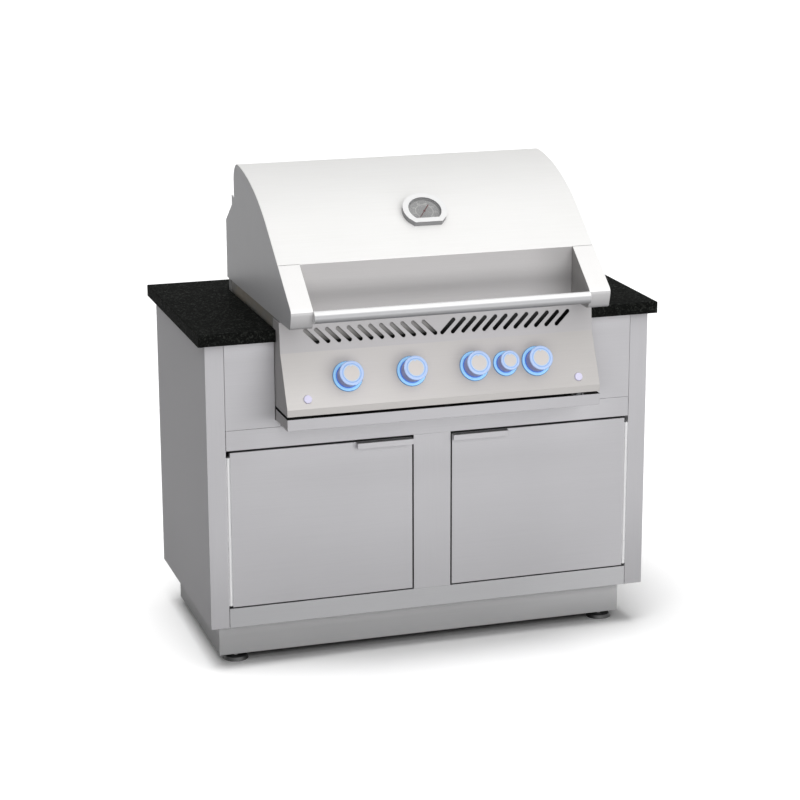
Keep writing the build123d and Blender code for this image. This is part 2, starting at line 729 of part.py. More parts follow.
def hopper(inset):
    """A four-sided funnel: its two sections drawn out and crossed."""
    top_x, low_x = fire_x - inset, pan_x - HOPPER_SIDE_IN - inset
    y0, y1 = FIREBOX_FRONT + inset, fire_back - inset
    low_y0, low_y1 = y0 + HOPPER_END_IN, y1 - HOPPER_END_IN
    wide = outline([(-top_x, wall_low), (top_x, wall_low), (low_x, hopper_low), (-low_x, hopper_low)])
    deep = outline([(y0, wall_low), (y1, wall_low), (low_y1, hopper_low), (low_y0, hopper_low)])
    return along_y(wide, y0, y1) & along_x(deep, -top_x, top_x)


def firebox():
    """Welded sheets: front wall with ears for the panel, rear and side walls, four ledges and a hopper."""
    inner_x = fire_x - SHEET
    y0, y1 = FIREBOX_FRONT + SHEET, fire_back - SHEET
    front = block(-fire_x, fire_x, FIREBOX_FRONT, y0, wall_low, rim)
    front += block(-grill_x, grill_x, FIREBOX_FRONT, y0, wall_low, panel_top - SHEET)
    for x in big_knob_x:
        hole = bar(BURNER_R + BURNER_FIT, -SHEET, 2 * SHEET, inscribed=False)
        front -= Pos(x, FIREBOX_FRONT, burner_z) * Rot(-90, 0, 0) * hole
    rear = block(-fire_x, fire_x, y1, fire_back, wall_low, rim)
    side = block(inner_x, fire_x, y0, y1, wall_low, rim)
    sheets = [front, rear, *both_hands(side), hopper(0) - hopper(SHEET)]
    for z in (rim - GRID_LEDGE_DOWN, tamer_z):
        sheets.append(block(-inner_x, inner_x, y0, y0 + LEDGE_W, z - SHEET, z))
        sheets.append(block(-inner_x, inner_x, y1 - LEDGE_W, y1, z - SHEET, z))
    return sheets


def cradle():
    """Right cradle side: carries the firebox wall and, on its inner ledge, the tray's rim."""
    ledge_x = pan_x + RUNNER_SIDE_GAP
    ledge_z = tray_top - 2 * SHEET - TRAY_FIT
    wall_x = fire_x + SHEET
    path = [
        (wall_x, wall_low + CRADLE_LAP),
        (wall_x, z_shelf),
        (ledge_x + RUNNER_LEDGE, z_shelf),
        (ledge_x + RUNNER_LEDGE, ledge_z),
        (ledge_x, ledge_z),
    ]
    return along_y(strip(path, -SHEET), FLANGE, fire_back - SHEET)


def drip_tray():
    """Hanging pan with a rim on three sides, behind a tall folded front."""
    y0, y1 = panel_front + SHEET, fire_back - PAN_BACK_IN
    rim_x = pan_x + PAN_RIM
    trough = block(-pan_x, pan_x, y0, y1, tray_top - PAN_DEEP, tray_top)
    tray = pan(trough, Axis.Z, SHEET)
    tray += block(-rim_x, rim_x, y0, y1, tray_top - SHEET, tray_top) - trough
    front = [(-grill_x, 0), (-grill_x, panel_front), (grill_x, panel_front), (grill_x, 0)]
    return tray + along_z(strip(front, SHEET), tray_top - TRAY_FRONT_H, tray_top)


left_cradle, right_cradle = both_hands(cradle())
save("firebox", *firebox())
save("grill_cradle", left_cradle, right_cradle - inlet_hole)
save("drip_tray", drip_tray())


# Gas pipes, burners, tamers and grids
def pipe(radius, *points):
    """A pipe with a mitred elbow at every corner."""
    path = Polyline(*points)
    start = Plane(origin=path @ 0, z_dir=path % 0)
    return sweep(start * RegularPolygon(radius, ROUND_SIDES), path=path, transition=Transition.RIGHT)


manifold_plane = on_lower_face(0, KNOB_UP)
manifold_down = VALVE_W / 2 + INLET_BOSS_H + MANIFOLD_W / 2
manifold_at = manifold_plane.from_local_coords(Vector(0, -manifold_down, -MANIFOLD_BACK))
manifold_x = max(big_knob_x) + MANIFOLD_END
pipe_z = z_shelf + PIPE_UP


def manifold():
    """The square gas rail under the valves."""
    bar = Box(2 * manifold_x, MANIFOLD_W, MANIFOLD_W)
    return manifold_plane * (Pos(0, -manifold_down, -MANIFOLD_BACK) * bar)


def inlet_pipe():
    """From the manifold's end, back over the shelf and down into the cabinet, with its union nut."""
    low = z_shelf - SHEET - INLET_PIPE_DROP
    run = pipe(
        INLET_PIPE_R,
        (manifold_x, manifold_at.Y, manifold_at.Z),
        (inlet_x, manifold_at.Y, manifold_at.Z),
        (inlet_x, manifold_at.Y, pipe_z),
        (inlet_x, INLET_PIPE_BACK, pipe_z),
        (inlet_x, INLET_PIPE_BACK, low),
    )
    nut = extrude(RegularPolygon(INLET_NUT_R, 6), -INLET_NUT_L)
    return [run, Pos(inlet_x, INLET_PIPE_BACK, low) * nut]


def burner_line():
    """From the small knob's valve, under the firebox and up the chase to the rear burner."""
    drop = z_shelf + LINE_DROP_UP
    lead = spud_tip - manifold_plane.z_dir * LINE_LEAD
    line_x = inlet_x - LINE_APART
    chase_y = (fire_back + grill_back) / 2
    burner_back = housing_front + REAR_BURNER_D
    high = z_work + REAR_BURNER_UP
    return pipe(
        LINE_R,
        (KNOB_PITCH, spud_tip.Y, spud_tip.Z),
        (KNOB_PITCH, lead.Y, lead.Z),
        (KNOB_PITCH, lead.Y, drop),
        (line_x, lead.Y, drop),
        (line_x, lead.Y, pipe_z),
        (line_x, chase_y, pipe_z),
        (line_x, chase_y, high),
        (line_x, burner_back, high),
    )


def burner(x):
    """A tube burner from its venturi mouth to the firebox's rear wall."""
    y0 = FIREBOX_FRONT - BURNER_OUT
    y1 = fire_back - SHEET
    turn = Pos(x, y0, burner_z) * Rot(-90, 0, 0)
    return turn * (bar(BURNER_R, 0, y1 - y0) - bar(BURNER_R - BURNER_WALL, -SHEET, y1 - y0 - SHEET))


def tamer(x):
    """A roof-shaped sheet over a burner."""
    roof = [(x - TAMER_W / 2, tamer_z), (x, tamer_z + TAMER_H), (x + TAMER_W / 2, tamer_z)]
    face = strip(roof, TAMER_T)
    above = Pos(x, tamer_z + TAMER_H) * Rectangle(2 * TAMER_W, 2 * TAMER_H)
    return along_y(face & above, FIREBOX_FRONT + SHEET, fire_back - SHEET)


def slotted(x0, x1, y0, y1, z0, z1, bars, bar_w, border):
    """A grid of equal bars along Y between two borders."""
    grid = block(x0, x1, y0, y1, z0, z1)
    step = (x1 - x0 - bar_w) / (bars - 1)
    for index in range(bars - 1):
        left = x0 + index * step + bar_w
        grid -= block(left, left + step - bar_w, y0 + border, y1 - border, z0 - bar_w, z1 + bar_w)
    return grid


def cooking_grid(index):
    """One section of the grid, lying on the firebox's upper ledges."""
    width = (2 * (fire_x - SHEET) - (GRID_COUNT + 1) * GRID_GAP) / GRID_COUNT
    x0 = -fire_x + SHEET + GRID_GAP + index * (width + GRID_GAP)
    y0, y1 = FIREBOX_FRONT + SHEET + GRID_GAP / 2, fire_back - SHEET - GRID_GAP / 2
    z0 = rim - GRID_LEDGE_DOWN
    return slotted(x0, x0 + width, y0, y1, z0, z0 + GRID_BAR_H, GRID_BARS, GRID_BAR_W, GRID_BORDER)


save("gas_pipes", manifold(), *inlet_pipe(), burner_line())
save("burner_tubes", *[burner(x) for x in big_knob_x])
save("flame_tamers", *[tamer(x) for x in big_knob_x])
save("cooking_grids", *[cooking_grid(index) for index in range(GRID_COUNT)])

# Hood section: straight front, big bend, flatter top, tight corner and rear wall
bend_corner = hood_lip + slope * HOOD_FRONT_L
top_rise = (hood_back - bend_corner.X) * tan(radians(HOOD_TOP_SLOPE))
back_corner = Vector(hood_back, bend_corner.Y + top_rise)
back_end = Vector(hood_back, pivot.Y + HOOD_BACK_UP)
corner_l = HOOD_CORNER_R * tan(radians(90 + HOOD_TOP_SLOPE) / 2)
bend_l = (back_corner - bend_corner).length - corner_l - HOOD_TOP_FLAT
bend_r = bend_l / tan(radians(HOOD_SLOPE - HOOD_TOP_SLOPE) / 2)
hood_path = FilletPolyline(hood_lip, bend_corner, back_corner, back_end, radius=[bend_r, HOOD_CORNER_R])


def thermo_plane():
    """The plane on the curved sheet at the thermometer, its Z axis pointing out of the hood."""
    spot = hood_path.position_at(THERMO_UP, position_mode=PositionMode.LENGTH)
    run = hood_path.tangent_at(THERMO_UP, position_mode=PositionMode.LENGTH)
    return Plane(origin=(0, spot.X, spot.Y), x_dir=(1, 0, 0), z_dir=(0, -run.Y, run.X))


def hood_shell():
    """Curved sheet over the full width, with the apron between the cheeks folded from it."""
    sheet = offset(hood_path, amount=SHEET, side=Side.RIGHT, kind=Kind.INTERSECTION)
    shell = along_x(make_face(sheet.edges()), -hood_x, hood_x)
    apron = [
        (-HOOD_LIP_OUT + APRON_FOLD, hood_low),
        (-HOOD_LIP_OUT, hood_low),
        (hood_lip.X, hood_lip.Y),
        (hood_lip.X + slope.X * APRON_FOLD, hood_lip.Y + slope.Y * APRON_FOLD),
    ]
    apron_x = hood_x - CHEEK_W
    shell += along_x(strip(apron, -SHEET), -apron_x, apron_x)
    return shell - thermo_plane() * bar(PROBE_R + DIAL_FIT, -BEZEL_SEAT, BEZEL_SEAT, inscribed=False)


def hood_end_face():
    """The end plate's outline: under the sheet, round the hinge lug, down the back and round the nose."""
    under = offset(hood_path, amount=SHEET, side=Side.RIGHT, kind=Kind.INTERSECTION, closed=False)
    start = hood_lip + Vector(slope.Y, -slope.X) * SHEET
    end = back_end - Vector(SHEET, 0)
    heel = Vector(-CHEEK_BOTTOM_OUT, hood_low)
    rest = Polyline(
        end,
        (end.X, back_end.Y - LUG_NOTCH),
        (pivot.X + LUG_REACH, pivot.Y + LUG_HALF),
        (pivot.X + LUG_REACH, pivot.Y - LUG_HALF),
        (grill_back, slant_low),
        (grill_back, hood_low),
        heel,
        nose,
        hood_lip - slope * CHEEK_SEAM,
        start,
    )
    face = make_face([*under.edges(), *rest.edges()])
    face = fillet(face.vertices().sort_by_distance(nose)[0], CHEEK_NOSE_R)
    return fillet(face.vertices().sort_by_distance(heel)[0], CHEEK_HEEL_R)


def hood_end():
    """Right end of the hood: a plate with a hollow cheek in front of the apron."""
    face = hood_end_face()
    plate = along_x(face, hood_x - END_T, hood_x)
    size = 4 * hood_x
    front = face & Pos(-HOOD_LIP_OUT - size / 2, z_work) * Rectangle(size, size)
    cheek = along_x(front, hood_x - CHEEK_W, hood_x)
    hollow = offset(front, amount=-CHEEK_WALL)
    cheek -= along_x(hollow, hood_x - CHEEK_W + CHEEK_WALL, hood_x - CHEEK_WALL)
    mouth = hollow.bounding_box()
    cheek -= block(
        hood_x - CHEEK_W + CHEEK_WALL,
        hood_x - CHEEK_WALL,
        mouth.min.X + CHEEK_NOSE_R,
        mouth.max.X,
        hood_low - CHEEK_WALL,
        hood_low + 2 * CHEEK_WALL,
    )
    return plate + cheek


def handle_bar():
    """A round tube between the cheeks."""
    reach = hood_x - CHEEK_W
    tube = disc(HANDLE_R, -reach, reach) - disc(HANDLE_R - HANDLE_WALL, -reach, reach)
    return Pos(0, handle.X, handle.Y) * Rot(0, 90, 0) * tube


def pivot_stud():
    """Right pivot stud, fixed to the end plate and borne by the rear housing's side wall."""
    start = hood_x - END_T
    return Pos(0, pivot.X, pivot.Y) * Rot(0, 90, 0) * bar(STUD_R, start - STUD_L, start)


housing_x = hood_x - END_T - HOUSING_GAP
left_end, right_end = both_hands(hood_end())
save("hood_shell", hood_shell())
save("hood_end_left", left_end)
save("hood_end_right", right_end)
save("handle_bar", handle_bar())
save("hood_pivot_studs", *both_hands(pivot_stud()))

# Hood thermometer
thermo = thermo_plane()


def window(grow):
    """The dial window: a circle cut off straight below."""
    low = -WINDOW_FLAT_DOWN - grow
    size = 4 * BEZEL_R
    return RegularPolygon(WINDOW_R + grow, WINDOW_SIDES) & Pos(0, low + size / 2) * Rectangle(size, size)


def bezel():
    """Round casting with a flat foot and cut lower corners, fitted to the curved sheet."""
    side_low = sqrt(BEZEL_R**2 - BEZEL_CORNER_X**2)
    cut = outline(
        [
            (-BEZEL_FLAT / 2, -BEZEL_FLAT_DOWN),
            (BEZEL_FLAT / 2, -BEZEL_FLAT_DOWN),
            (BEZEL_CORNER_X, -side_low),
            (2 * BEZEL_R, 0),
            (2 * BEZEL_R, 2 * BEZEL_R),
            (-2 * BEZEL_R, 2 * BEZEL_R),
            (-2 * BEZEL_R, 0),
            (-BEZEL_CORNER_X, -side_low),
        ]
    )
    face = RegularPolygon(BEZEL_R, BEZEL_SIDES) & cut
    body = Pos(0, 0, -BEZEL_SEAT) * extrude(face, BEZEL_H + BEZEL_SEAT)
    body -= Pos(0, 0, BEZEL_H - DIAL_DEEP) * extrude(window(0), DIAL_DEEP)
    body -= Pos(0, 0, BEZEL_H - GLASS_DEEP) * extrude(window(GLASS_LEDGE), GLASS_DEEP)
    body -= bar(PROBE_R + DIAL_FIT, -BEZEL_SEAT, BEZEL_H, inscribed=False)
    under = make_face([*hood_path.edges(), Line(back_end, hood_lip)])
    return thermo * body - along_x(under, -2 * BEZEL_R, 2 * BEZEL_R)


dial_z = BEZEL_H - DIAL_DEEP
needle_z = dial_z + DIAL_T + NEEDLE_UP


def dial():
    """The dial plate with its needle pin and the probe that reaches into the hood."""
    plate = Pos(0, 0, dial_z) * extrude(window(-DIAL_FIT), DIAL_T)
    probe = bar(PROBE_R, dial_z - PROBE_L, dial_z)
    return thermo * (plate + probe + bar(DIAL_PIN_R, dial_z, needle_z + 2 * NEEDLE_T))


def needle():
    """A tapered pointer with a round hub on the dial's pin."""
    taper = NEEDLE_W / 2
    tail, tip = -NEEDLE_TAIL, NEEDLE_L
    arrow = outline([(-taper, tail), (taper, tail), (taper / 4, tip), (-taper / 4, tip)])
    flat = extrude(arrow, NEEDLE_T) + bar(HUB_R, 0, NEEDLE_T)
    flat -= bar(DIAL_PIN_R + RUNNING_FIT, -NEEDLE_T, 2 * NEEDLE_T, inscribed=False)
    return thermo * (Pos(0, 0, needle_z) * Rot(0, 0, -NEEDLE_ANGLE) * flat)


save("thermometer_bezel", bezel())
save("thermometer_dial", dial())
save("thermometer_needle", needle())
glass_z = BEZEL_H - GLASS_DEEP
save("thermometer_glass", thermo * (Pos(0, 0, glass_z) * extrude(window(GLASS_LEDGE - DIAL_FIT), GLASS_T)))

# Rear housing with the rear burner, and the warming rack
burner_mid = z_work + REAR_BURNER_UP
rear_burner_x = housing_x - REAR_BURNER_SIDE_IN
chase_low = z_work - CHASE_DOWN


def housing():
    """Closed sheet box on the firebox's rear rim with a chase down behind the firebox."""
    face = outline(
        [
            (housing_front, rim),
            (housing_front, pivot.Y + HOUSING_TOP_UP),
            (pivot.X + HOUSING_TOP_BACK, pivot.Y + HOUSING_TOP_UP),
            (pivot.X + HOUSING_TOP_BACK, pivot.Y - HOUSING_SLANT_TOP),
            (grill_back, slant_low - HOUSING_SLANT_IN),
            (grill_back, chase_low),
            (fire_back, chase_low),
            (fire_back, rim),
        ]
    )
    box = along_x(face, -housing_x, housing_x)
    inner_x = housing_x - SHEET
    box -= along_x(offset(face, amount=-SHEET, kind=Kind.INTERSECTION), -inner_x, inner_x)
    y0, y1 = fire_back + SHEET, grill_back - SHEET
    box -= block(-inner_x, inner_x, y0, y1, chase_low - SHEET, chase_low + 2 * SHEET)
    y0, y1 = housing_front - SHEET, housing_front + SHEET
    tall = REAR_BURNER_H / 2
    box -= block(-rear_burner_x, rear_burner_x, y0, y1, burner_mid - tall, burner_mid + tall)
    bore = Rot(0, 90, 0) * bar(STUD_R + RUNNING_FIT, -hood_x, hood_x, inscribed=False)
    return box - Pos(0, pivot.X, pivot.Y) * bore


def rear_burner():
    """A flanged pan in the housing's window with a ceramic tile across it."""
    wide, tall = rear_burner_x - TRAY_FIT, REAR_BURNER_H / 2 - TRAY_FIT
    y0, y1 = housing_front - SHEET, housing_front + REAR_BURNER_D
    case = block(-wide, wide, y0, y1, burner_mid - tall, burner_mid + tall)
    rim_x, rim_z = wide + REAR_BURNER_RIM, tall + REAR_BURNER_RIM
    case += block(-rim_x, rim_x, y0, housing_front, burner_mid - rim_z, burner_mid + rim_z)
    in_x, in_z = wide - SHEET, tall - SHEET
    case -= block(-in_x, in_x, y0, y1 - SHEET, burner_mid - in_z, burner_mid + in_z)
    tile_y = y0 + TILE_IN
    tile = block(-in_x, in_x, tile_y, tile_y + TILE_T, burner_mid - in_z, burner_mid + in_z)
    return [case, tile]


def warming_rack():
    """A flat grid on a folded leg that stands on each firebox wall."""
    x1 = fire_x - RACK_SIDE_IN
    y1 = housing_front - RACK_BACK_IN
    y0 = y1 - RACK_D
    top = z_work + RACK_UP
    low = top - RACK_BAR
    rack = slotted(-x1, x1, y0, y1, low, top, RACK_BARS, RACK_BAR, RACK_BAR)
    leg_y = (y0 + y1 - RACK_LEG_W) / 2
    path = [(x1 - RACK_BAR, low), (fire_x, low), (fire_x, rim)]
    leg = along_y(strip(path, -SHEET), leg_y, leg_y + RACK_LEG_W)
    return [rack, *both_hands(leg)]


save("rear_housing", housing())
save("rear_burner", *rear_burner())
save("warming_rack", *warming_rack())
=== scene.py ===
import json
import math

import bmesh
import bpy
from bpy.props import FloatProperty, FloatVectorProperty, IntProperty, PointerProperty
from mathutils import Matrix, Vector


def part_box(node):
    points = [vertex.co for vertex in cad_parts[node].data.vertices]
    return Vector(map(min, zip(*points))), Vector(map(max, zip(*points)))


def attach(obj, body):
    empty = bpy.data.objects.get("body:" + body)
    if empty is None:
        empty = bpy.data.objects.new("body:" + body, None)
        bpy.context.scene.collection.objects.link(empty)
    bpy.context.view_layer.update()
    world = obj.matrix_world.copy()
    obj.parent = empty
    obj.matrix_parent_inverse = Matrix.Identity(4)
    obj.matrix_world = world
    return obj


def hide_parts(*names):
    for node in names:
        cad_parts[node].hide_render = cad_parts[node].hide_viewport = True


bl_info = {
    "name": "Outdoor Kitchen Finishes",
    "version": (1, 0, 0),
    "blender": (4, 5, 0),
    "location": "View3D > Sidebar > Kitchen",
    "description": "Finishes, knobs, dial and studio for the outdoor kitchen module",
    "category": "Object",
}

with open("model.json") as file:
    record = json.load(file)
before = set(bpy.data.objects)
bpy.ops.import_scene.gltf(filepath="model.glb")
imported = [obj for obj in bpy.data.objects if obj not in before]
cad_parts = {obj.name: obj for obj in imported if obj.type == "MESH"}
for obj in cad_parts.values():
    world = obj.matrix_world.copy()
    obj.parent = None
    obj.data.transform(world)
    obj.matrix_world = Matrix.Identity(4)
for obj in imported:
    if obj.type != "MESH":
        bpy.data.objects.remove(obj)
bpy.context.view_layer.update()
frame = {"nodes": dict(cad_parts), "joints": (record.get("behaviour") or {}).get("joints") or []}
joints = {joint["name"]: joint for joint in frame["joints"]}

KNOBS = ("knob_1", "knob_2", "knob_3", "knob_4", "knob_5")
FEET = ("foot_front_left", "foot_front_right", "foot_rear_left", "foot_rear_right")
SIDES = ("left", "right")

# Heights and depths on the part, in metres
PAD_TOP_Z = 0.0092  # top of a foot's pad
TRAY_GAP_Z = 0.632  # lower edge of the gap behind the drip tray
PANEL_LIP_Z = 0.701  # fold between the panel's leaning face and its lip
FOLD_Z = 0.828  # fold between the panel's slotted and leaning faces
NOSE_Z = 0.953  # nose of the hood's cheeks
LIP_Z = 1.0445  # fold between the hood's apron and its curved sheet
TUBE_WALL = 0.0020  # wall of the handle's tube
# Flat ends take painted shade, and painted light at the handle's ends.
END_DEPTH = 0.0004  # how deep a flat end keeps its own tone
# Upper edges take painted shade: the drip tray's rim and the tops of the pulls.
EDGE_DEPTH = 0.0012  # how deep an upper edge keeps its own tone
FACE_DEPTH = 0.0025  # how deep a front face keeps its own tone
BELOW, ABOVE = -5.0, 5.0  # limits that lie past every face

# Waves of brushing per metre along each axis
LEVEL_GRAIN = (7.0, 7.0, 620.0)
UPRIGHT_GRAIN = (620.0, 620.0, 7.0)
LINER_GRAIN = (7.0, 7.0, 400.0)
MILL_GRAIN = (30.0, 200.0, 60.0)
PANEL_GRAIN = (7.0, 500.0, 500.0)
BAFFLE_GRAIN = (12.0, 300.0, 300.0)
HOOD_GRAIN = (7.0, 420.0, 420.0)
HOT_GRAIN = (500.0, 12.0, 500.0)
WIPE_GRAIN = (9.0, 70.0, 70.0)

# Meshes
TURN_STEPS, CAP_STEPS, HUB_STEPS = 96, 64, 48  # faces round a knob, a cap and the needle's hub
JOIN_DISTANCE = 0.00002  # points of a CAD mesh that are closer than this are joined
SMOOTH_ANGLE = math.radians(22)  # CAD edges up to this angle are smooth
CREASE_ANGLE = math.radians(30)  # edges of built pieces up to this angle are smooth
BEVEL_ANGLE = math.radians(40)  # CAD edges past this angle are rounded

# The thermometer's scale: its first mark, clockwise from the top, and how far it goes round
SCALE_START, SCALE_SWEEP = math.radians(217), math.radians(285)


def linear(red, green, blue):
    """A colour given as 0 to 255 screen values, as light values."""
    steps = [channel / 255 for channel in (red, green, blue)]
    return tuple(s / 12.92 if s <= 0.04045 else ((s + 0.055) / 1.055) ** 2.4 for s in steps)


def colour_prop(name, description, screen):
    """A colour a user may change, with its default in screen values."""
    return FloatVectorProperty(
        name=name, description=description, subtype="COLOR", size=3, min=0, max=1, default=linear(*screen)
    )


def length_prop(name, description, metres):
    """A length a user may change."""
    return FloatProperty(name=name, description=description, unit="LENGTH", precision=5, min=0, default=metres)


def light_prop(name, description, strength):
    """A light's strength that a user may change."""
    return FloatProperty(name=name, description=description, min=0, default=strength)


# Settings


class SteelLook(bpy.types.PropertyGroup):
    sheet: colour_prop("Sheet", "Brushed sheet of the cabinet and doors", (197, 196, 199))
    # Darker than the sheet: painted shade that offsets the front lamp's extra light on the tray.
    tray: colour_prop("Drip tray", "Brushed front of the drip tray", (188, 187, 190))
    plinth: colour_prop("Plinth", "Duller sheet of the plinth", (196, 196, 197))
    # Darker than the sheet: painted shade near the floor.
    rail: colour_prop("Bottom rail", "Duller sheet of the bottom rail", (185, 185, 187))
    # Far paler than the cabinet's sheet: painted light, the bright sheen on the hood's curved sheet.
    hood: colour_prop("Hood", "Brushed curved sheet of the hood", (250, 249, 247))
    # Darker than the hood's sheet: painted shade under the hood's lip, between the cheeks.
    apron: colour_prop("Apron", "Upright front of the hood behind the handle", (182, 180, 180))
    panel: colour_prop("Control panel", "Leaning face of the control panel", (196, 193, 191))
    # Darker than the leaning face: painted shade under the hood and handle.
    grille: colour_prop("Slotted face", "Upright slotted face of the control panel", (186, 184, 185))
    baffle: colour_prop("Baffle", "Strip behind the left slots of the control panel", (150, 148, 147))
    returns: colour_prop("Returns", "Shaded folds behind the cabinet's front", (96, 96, 97))
    gap: colour_prop("Tray gap", "Shaded sheet behind the drip tray", (40, 40, 40))
    pull_top: colour_prop("Pull tops", "Shaded tops of the finger pulls", (124, 124, 125))
    inside: colour_prop("Inside", "Dull sheet inside the cabinet and the grill", (150, 150, 150))
    # Darker than the panel: painted shade on the flat ends.
    painted_end_shade: colour_prop("Panel ends", "Flat ends of the control panel and the drip tray", (176, 174, 174))
    # The cheeks are one casting in lit and shaded tones: painted light on the sloping tops, painted shade on
    # the fronts, outer sides and inner faces below.
    casting: colour_prop("Castings", "Sloping tops of the hood's cheeks", (248, 247, 246))
    cheek: colour_prop("Cheek fronts", "Upright fronts of the hood's cheeks", (192, 191, 192))
    cheek_inside: colour_prop("Cheek insides", "Inner faces of the hood's cheeks", (158, 156, 154))
    hood_side: colour_prop("Hood sides", "Flat outer sides of the hood", (196, 196, 198))
    # The handle's tones are painted: shade below, a highlight on top, and light on its ends and plugs.
    handle: colour_prop("Handle", "Polished handle and pivot studs", (178, 178, 180))
    handle_top: colour_prop("Handle top", "Bright upper side of the handle", (252, 252, 252))
    handle_tip: colour_prop("Handle ends", "Pale ends of the handle and their plugs", (240, 240, 240))
    hinge: colour_prop("Hinges", "Polished piano hinges", (240, 240, 241))
    edge: length_prop("Edge radius", "Rounding of folded sheet edges", 0.0008)


class StoneLook(bpy.types.PropertyGroup):
    ground: colour_prop("Ground", "Dark ground of the granite", (18, 19, 18))
    crystal: colour_prop("Crystals", "Paler crystals in the granite", (62, 64, 61))
    grain: length_prop("Grain", "Width of the larger crystals", 0.004)


class GrillLook(bpy.types.PropertyGroup):
    hot: colour_prop("Hot steel", "Firebox, burner tubes, tamers and rack", (150, 148, 144))
    straw: colour_prop("Straw tint", "First tint of steel that has been hot", (162, 144, 116))
    blue: colour_prop("Blue tint", "Second tint of steel that has been hot", (92, 98, 124))
    front: colour_prop("Firebox front", "Shaded front wall of the firebox", (58, 58, 58))
    # Painted shade on the lower part of the baffle, deep in the slots.
    baffle_shade: colour_prop("Baffle_shade", "Lower part of the baffle behind the slots", (58, 57, 56))
    grease: colour_prop("Grease", "Inside of the drip tray", (70, 68, 66))
    # Near-black rim: painted shade of the gap under the control panel's lip.
    rim: colour_prop("Tray rim", "Shadowed rim of the drip tray", (24, 23, 22))
    grid: colour_prop("Grids", "Cast iron of the cooking grids", (46, 45, 44))
    brass: colour_prop("Valves", "Brass of the gas valves and their plugs", (196, 160, 92))
    pipe: colour_prop("Pipes", "Steel of the gas pipes", (150, 152, 154))
    tile: colour_prop("Tile", "Ceramic tile of the rear burner", (206, 192, 170))
    hole: colour_prop("Flame holes", "Holes in the tile", (70, 58, 50))
    tile_rim: colour_prop("Tile rim", "Steel rim round the tile", (168, 166, 162))


class FittingLook(bpy.types.PropertyGroup):
    catch: colour_prop("Catches", "Plastic of the door catches", (30, 30, 32))
    switch: colour_prop("Switches", "Plastic of the button housings", (34, 34, 36))
    pad: colour_prop("Pads", "Plastic pads of the feet", (26, 26, 27))
    stem: colour_prop("Stems", "Threaded stems of the feet", (188, 188, 188))


class KnobLook(bpy.types.PropertyGroup):
    # The blue-lavender tint is painted light from the ring lights below.
    metal: colour_prop("Knob side", "Satin metal of a knob's side", (180, 168, 204))
    face: colour_prop("Knob face", "Warm satin face of a knob", (202, 197, 194))
    # The blue tint is a painted reflection of the ring lights.
    rim: colour_prop("Knob rim", "Pale polished rim of a knob", (172, 193, 230))
    band: colour_prop("Knob band", "Frosted band round a knob's face", (184, 203, 229))
    groove: colour_prop("Knob groove", "Lit groove in the band", (142, 176, 224))
    glow: colour_prop("Ring light", "Lit lens round each knob", (156, 210, 254))
    # Darker than the lens and unlit: painted shade on the lens's outer wall.
    wall: colour_prop("Ring wall", "Outer wall of the lens", (104, 152, 208))
    well: colour_prop("Ring well", "Deeper light between lens and knob", (82, 124, 206))
    button: colour_prop("Buttons", "Pale lit push buttons", (208, 205, 228))
    lens_width: length_prop("Lens width", "Width of the lit lens", 0.0085)
    lens_height: length_prop("Lens height", "Height of the lens above the panel", 0.004)
    tooth: length_prop("Pointer width", "Width of the pointer on a knob's face", 0.005)
    dish: length_prop("Dish", "Depth of the knob's hollow face", 0.0009)


class DialLook(bpy.types.PropertyGroup):
    face: colour_prop("Dial", "Grey dial of the thermometer", (150, 150, 150))
    marks: colour_prop("Marks", "Printed marks and numbers", (200, 200, 198))
    needle: colour_prop("Needle", "Red needle", (92, 22, 32))
    bezel: colour_prop("Bezel", "Polished front of the bezel", (243, 243, 243))
    bezel_wall: colour_prop("Bezel wall", "Shaded wall of the bezel", (140, 140, 141))
    radius: length_prop("Scale radius", "Outer radius of the printed scale", 0.0365)
    tick: length_prop("Tick", "Length of a main tick", 0.0040)
    number: length_prop("Number height", "Height of the printed numbers", 0.0058)
    arc: length_prop("Arc radius", "Radius of the printed arc inside the numbers", 0.0225)
    steps: IntProperty(name="Steps", description="Ticks between the ends of the scale", min=1, default=35)


class StageLook(bpy.types.PropertyGroup):
    floor: colour_prop("Floor", "Pale floor", (252, 252, 252))
    bounce: colour_prop("Floor bounce", "Tone of the floor that lights the part from below", (44, 44, 44))
    key: light_prop("Key light", "Strength of the soft main light", 1.35)
    front: light_prop("Front light", "Power of the low softbox in front", 6.6)
    top: light_prop("Top light", "Strength of the light from above", 1.05)
    ground: light_prop("Floor light", "Strength of the light on the floor alone", 2.6)
    fill: light_prop("Floor fill", "Strength of the broad light on the floor alone", 0.85)
    ambient: light_prop("Ambient", "Level of the surrounding light", 0.2)
    lens: FloatProperty(name="Lens", description="Focal length", subtype="DISTANCE_CAMERA", default=104.62)
    place: FloatVectorProperty(
        name="Camera",
        description="Place of the camera",
        subtype="TRANSLATION",
        default=(-1.7659, -5.56765, 2.1935),
    )
    aim: FloatVectorProperty(
        name="Aim",
        description="Direction of view",
        subtype="DIRECTION",
        default=(0.28870, 0.92105, -0.26137),
    )
    roll: FloatProperty(
        name="Roll", description="Turn about the view", subtype="ANGLE", default=math.radians(-0.19)
    )


class KitchenLook(bpy.types.PropertyGroup):
    steel: PointerProperty(type=SteelLook, name="Steel", description="Sheet, castings and handle")
    stone: PointerProperty(type=StoneLook, name="Stone", description="Granite worktop")
    grill: PointerProperty(type=GrillLook, name="Grill", description="Hot and greasy parts of the grill")
    fittings: PointerProperty(type=FittingLook, name="Fittings", description="Catches, switches and feet")
    knobs: PointerProperty(type=KnobLook, name="Knobs", description="Knobs, ring lights and buttons")
    dial: PointerProperty(type=DialLook, name="Dial", description="Thermometer")
    stage: PointerProperty(type=StageLook, name="Stage", description="Floor, light and camera")


def look():
    """The settings in use."""
    return bpy.context.scene.kitchen_look


# Shader building


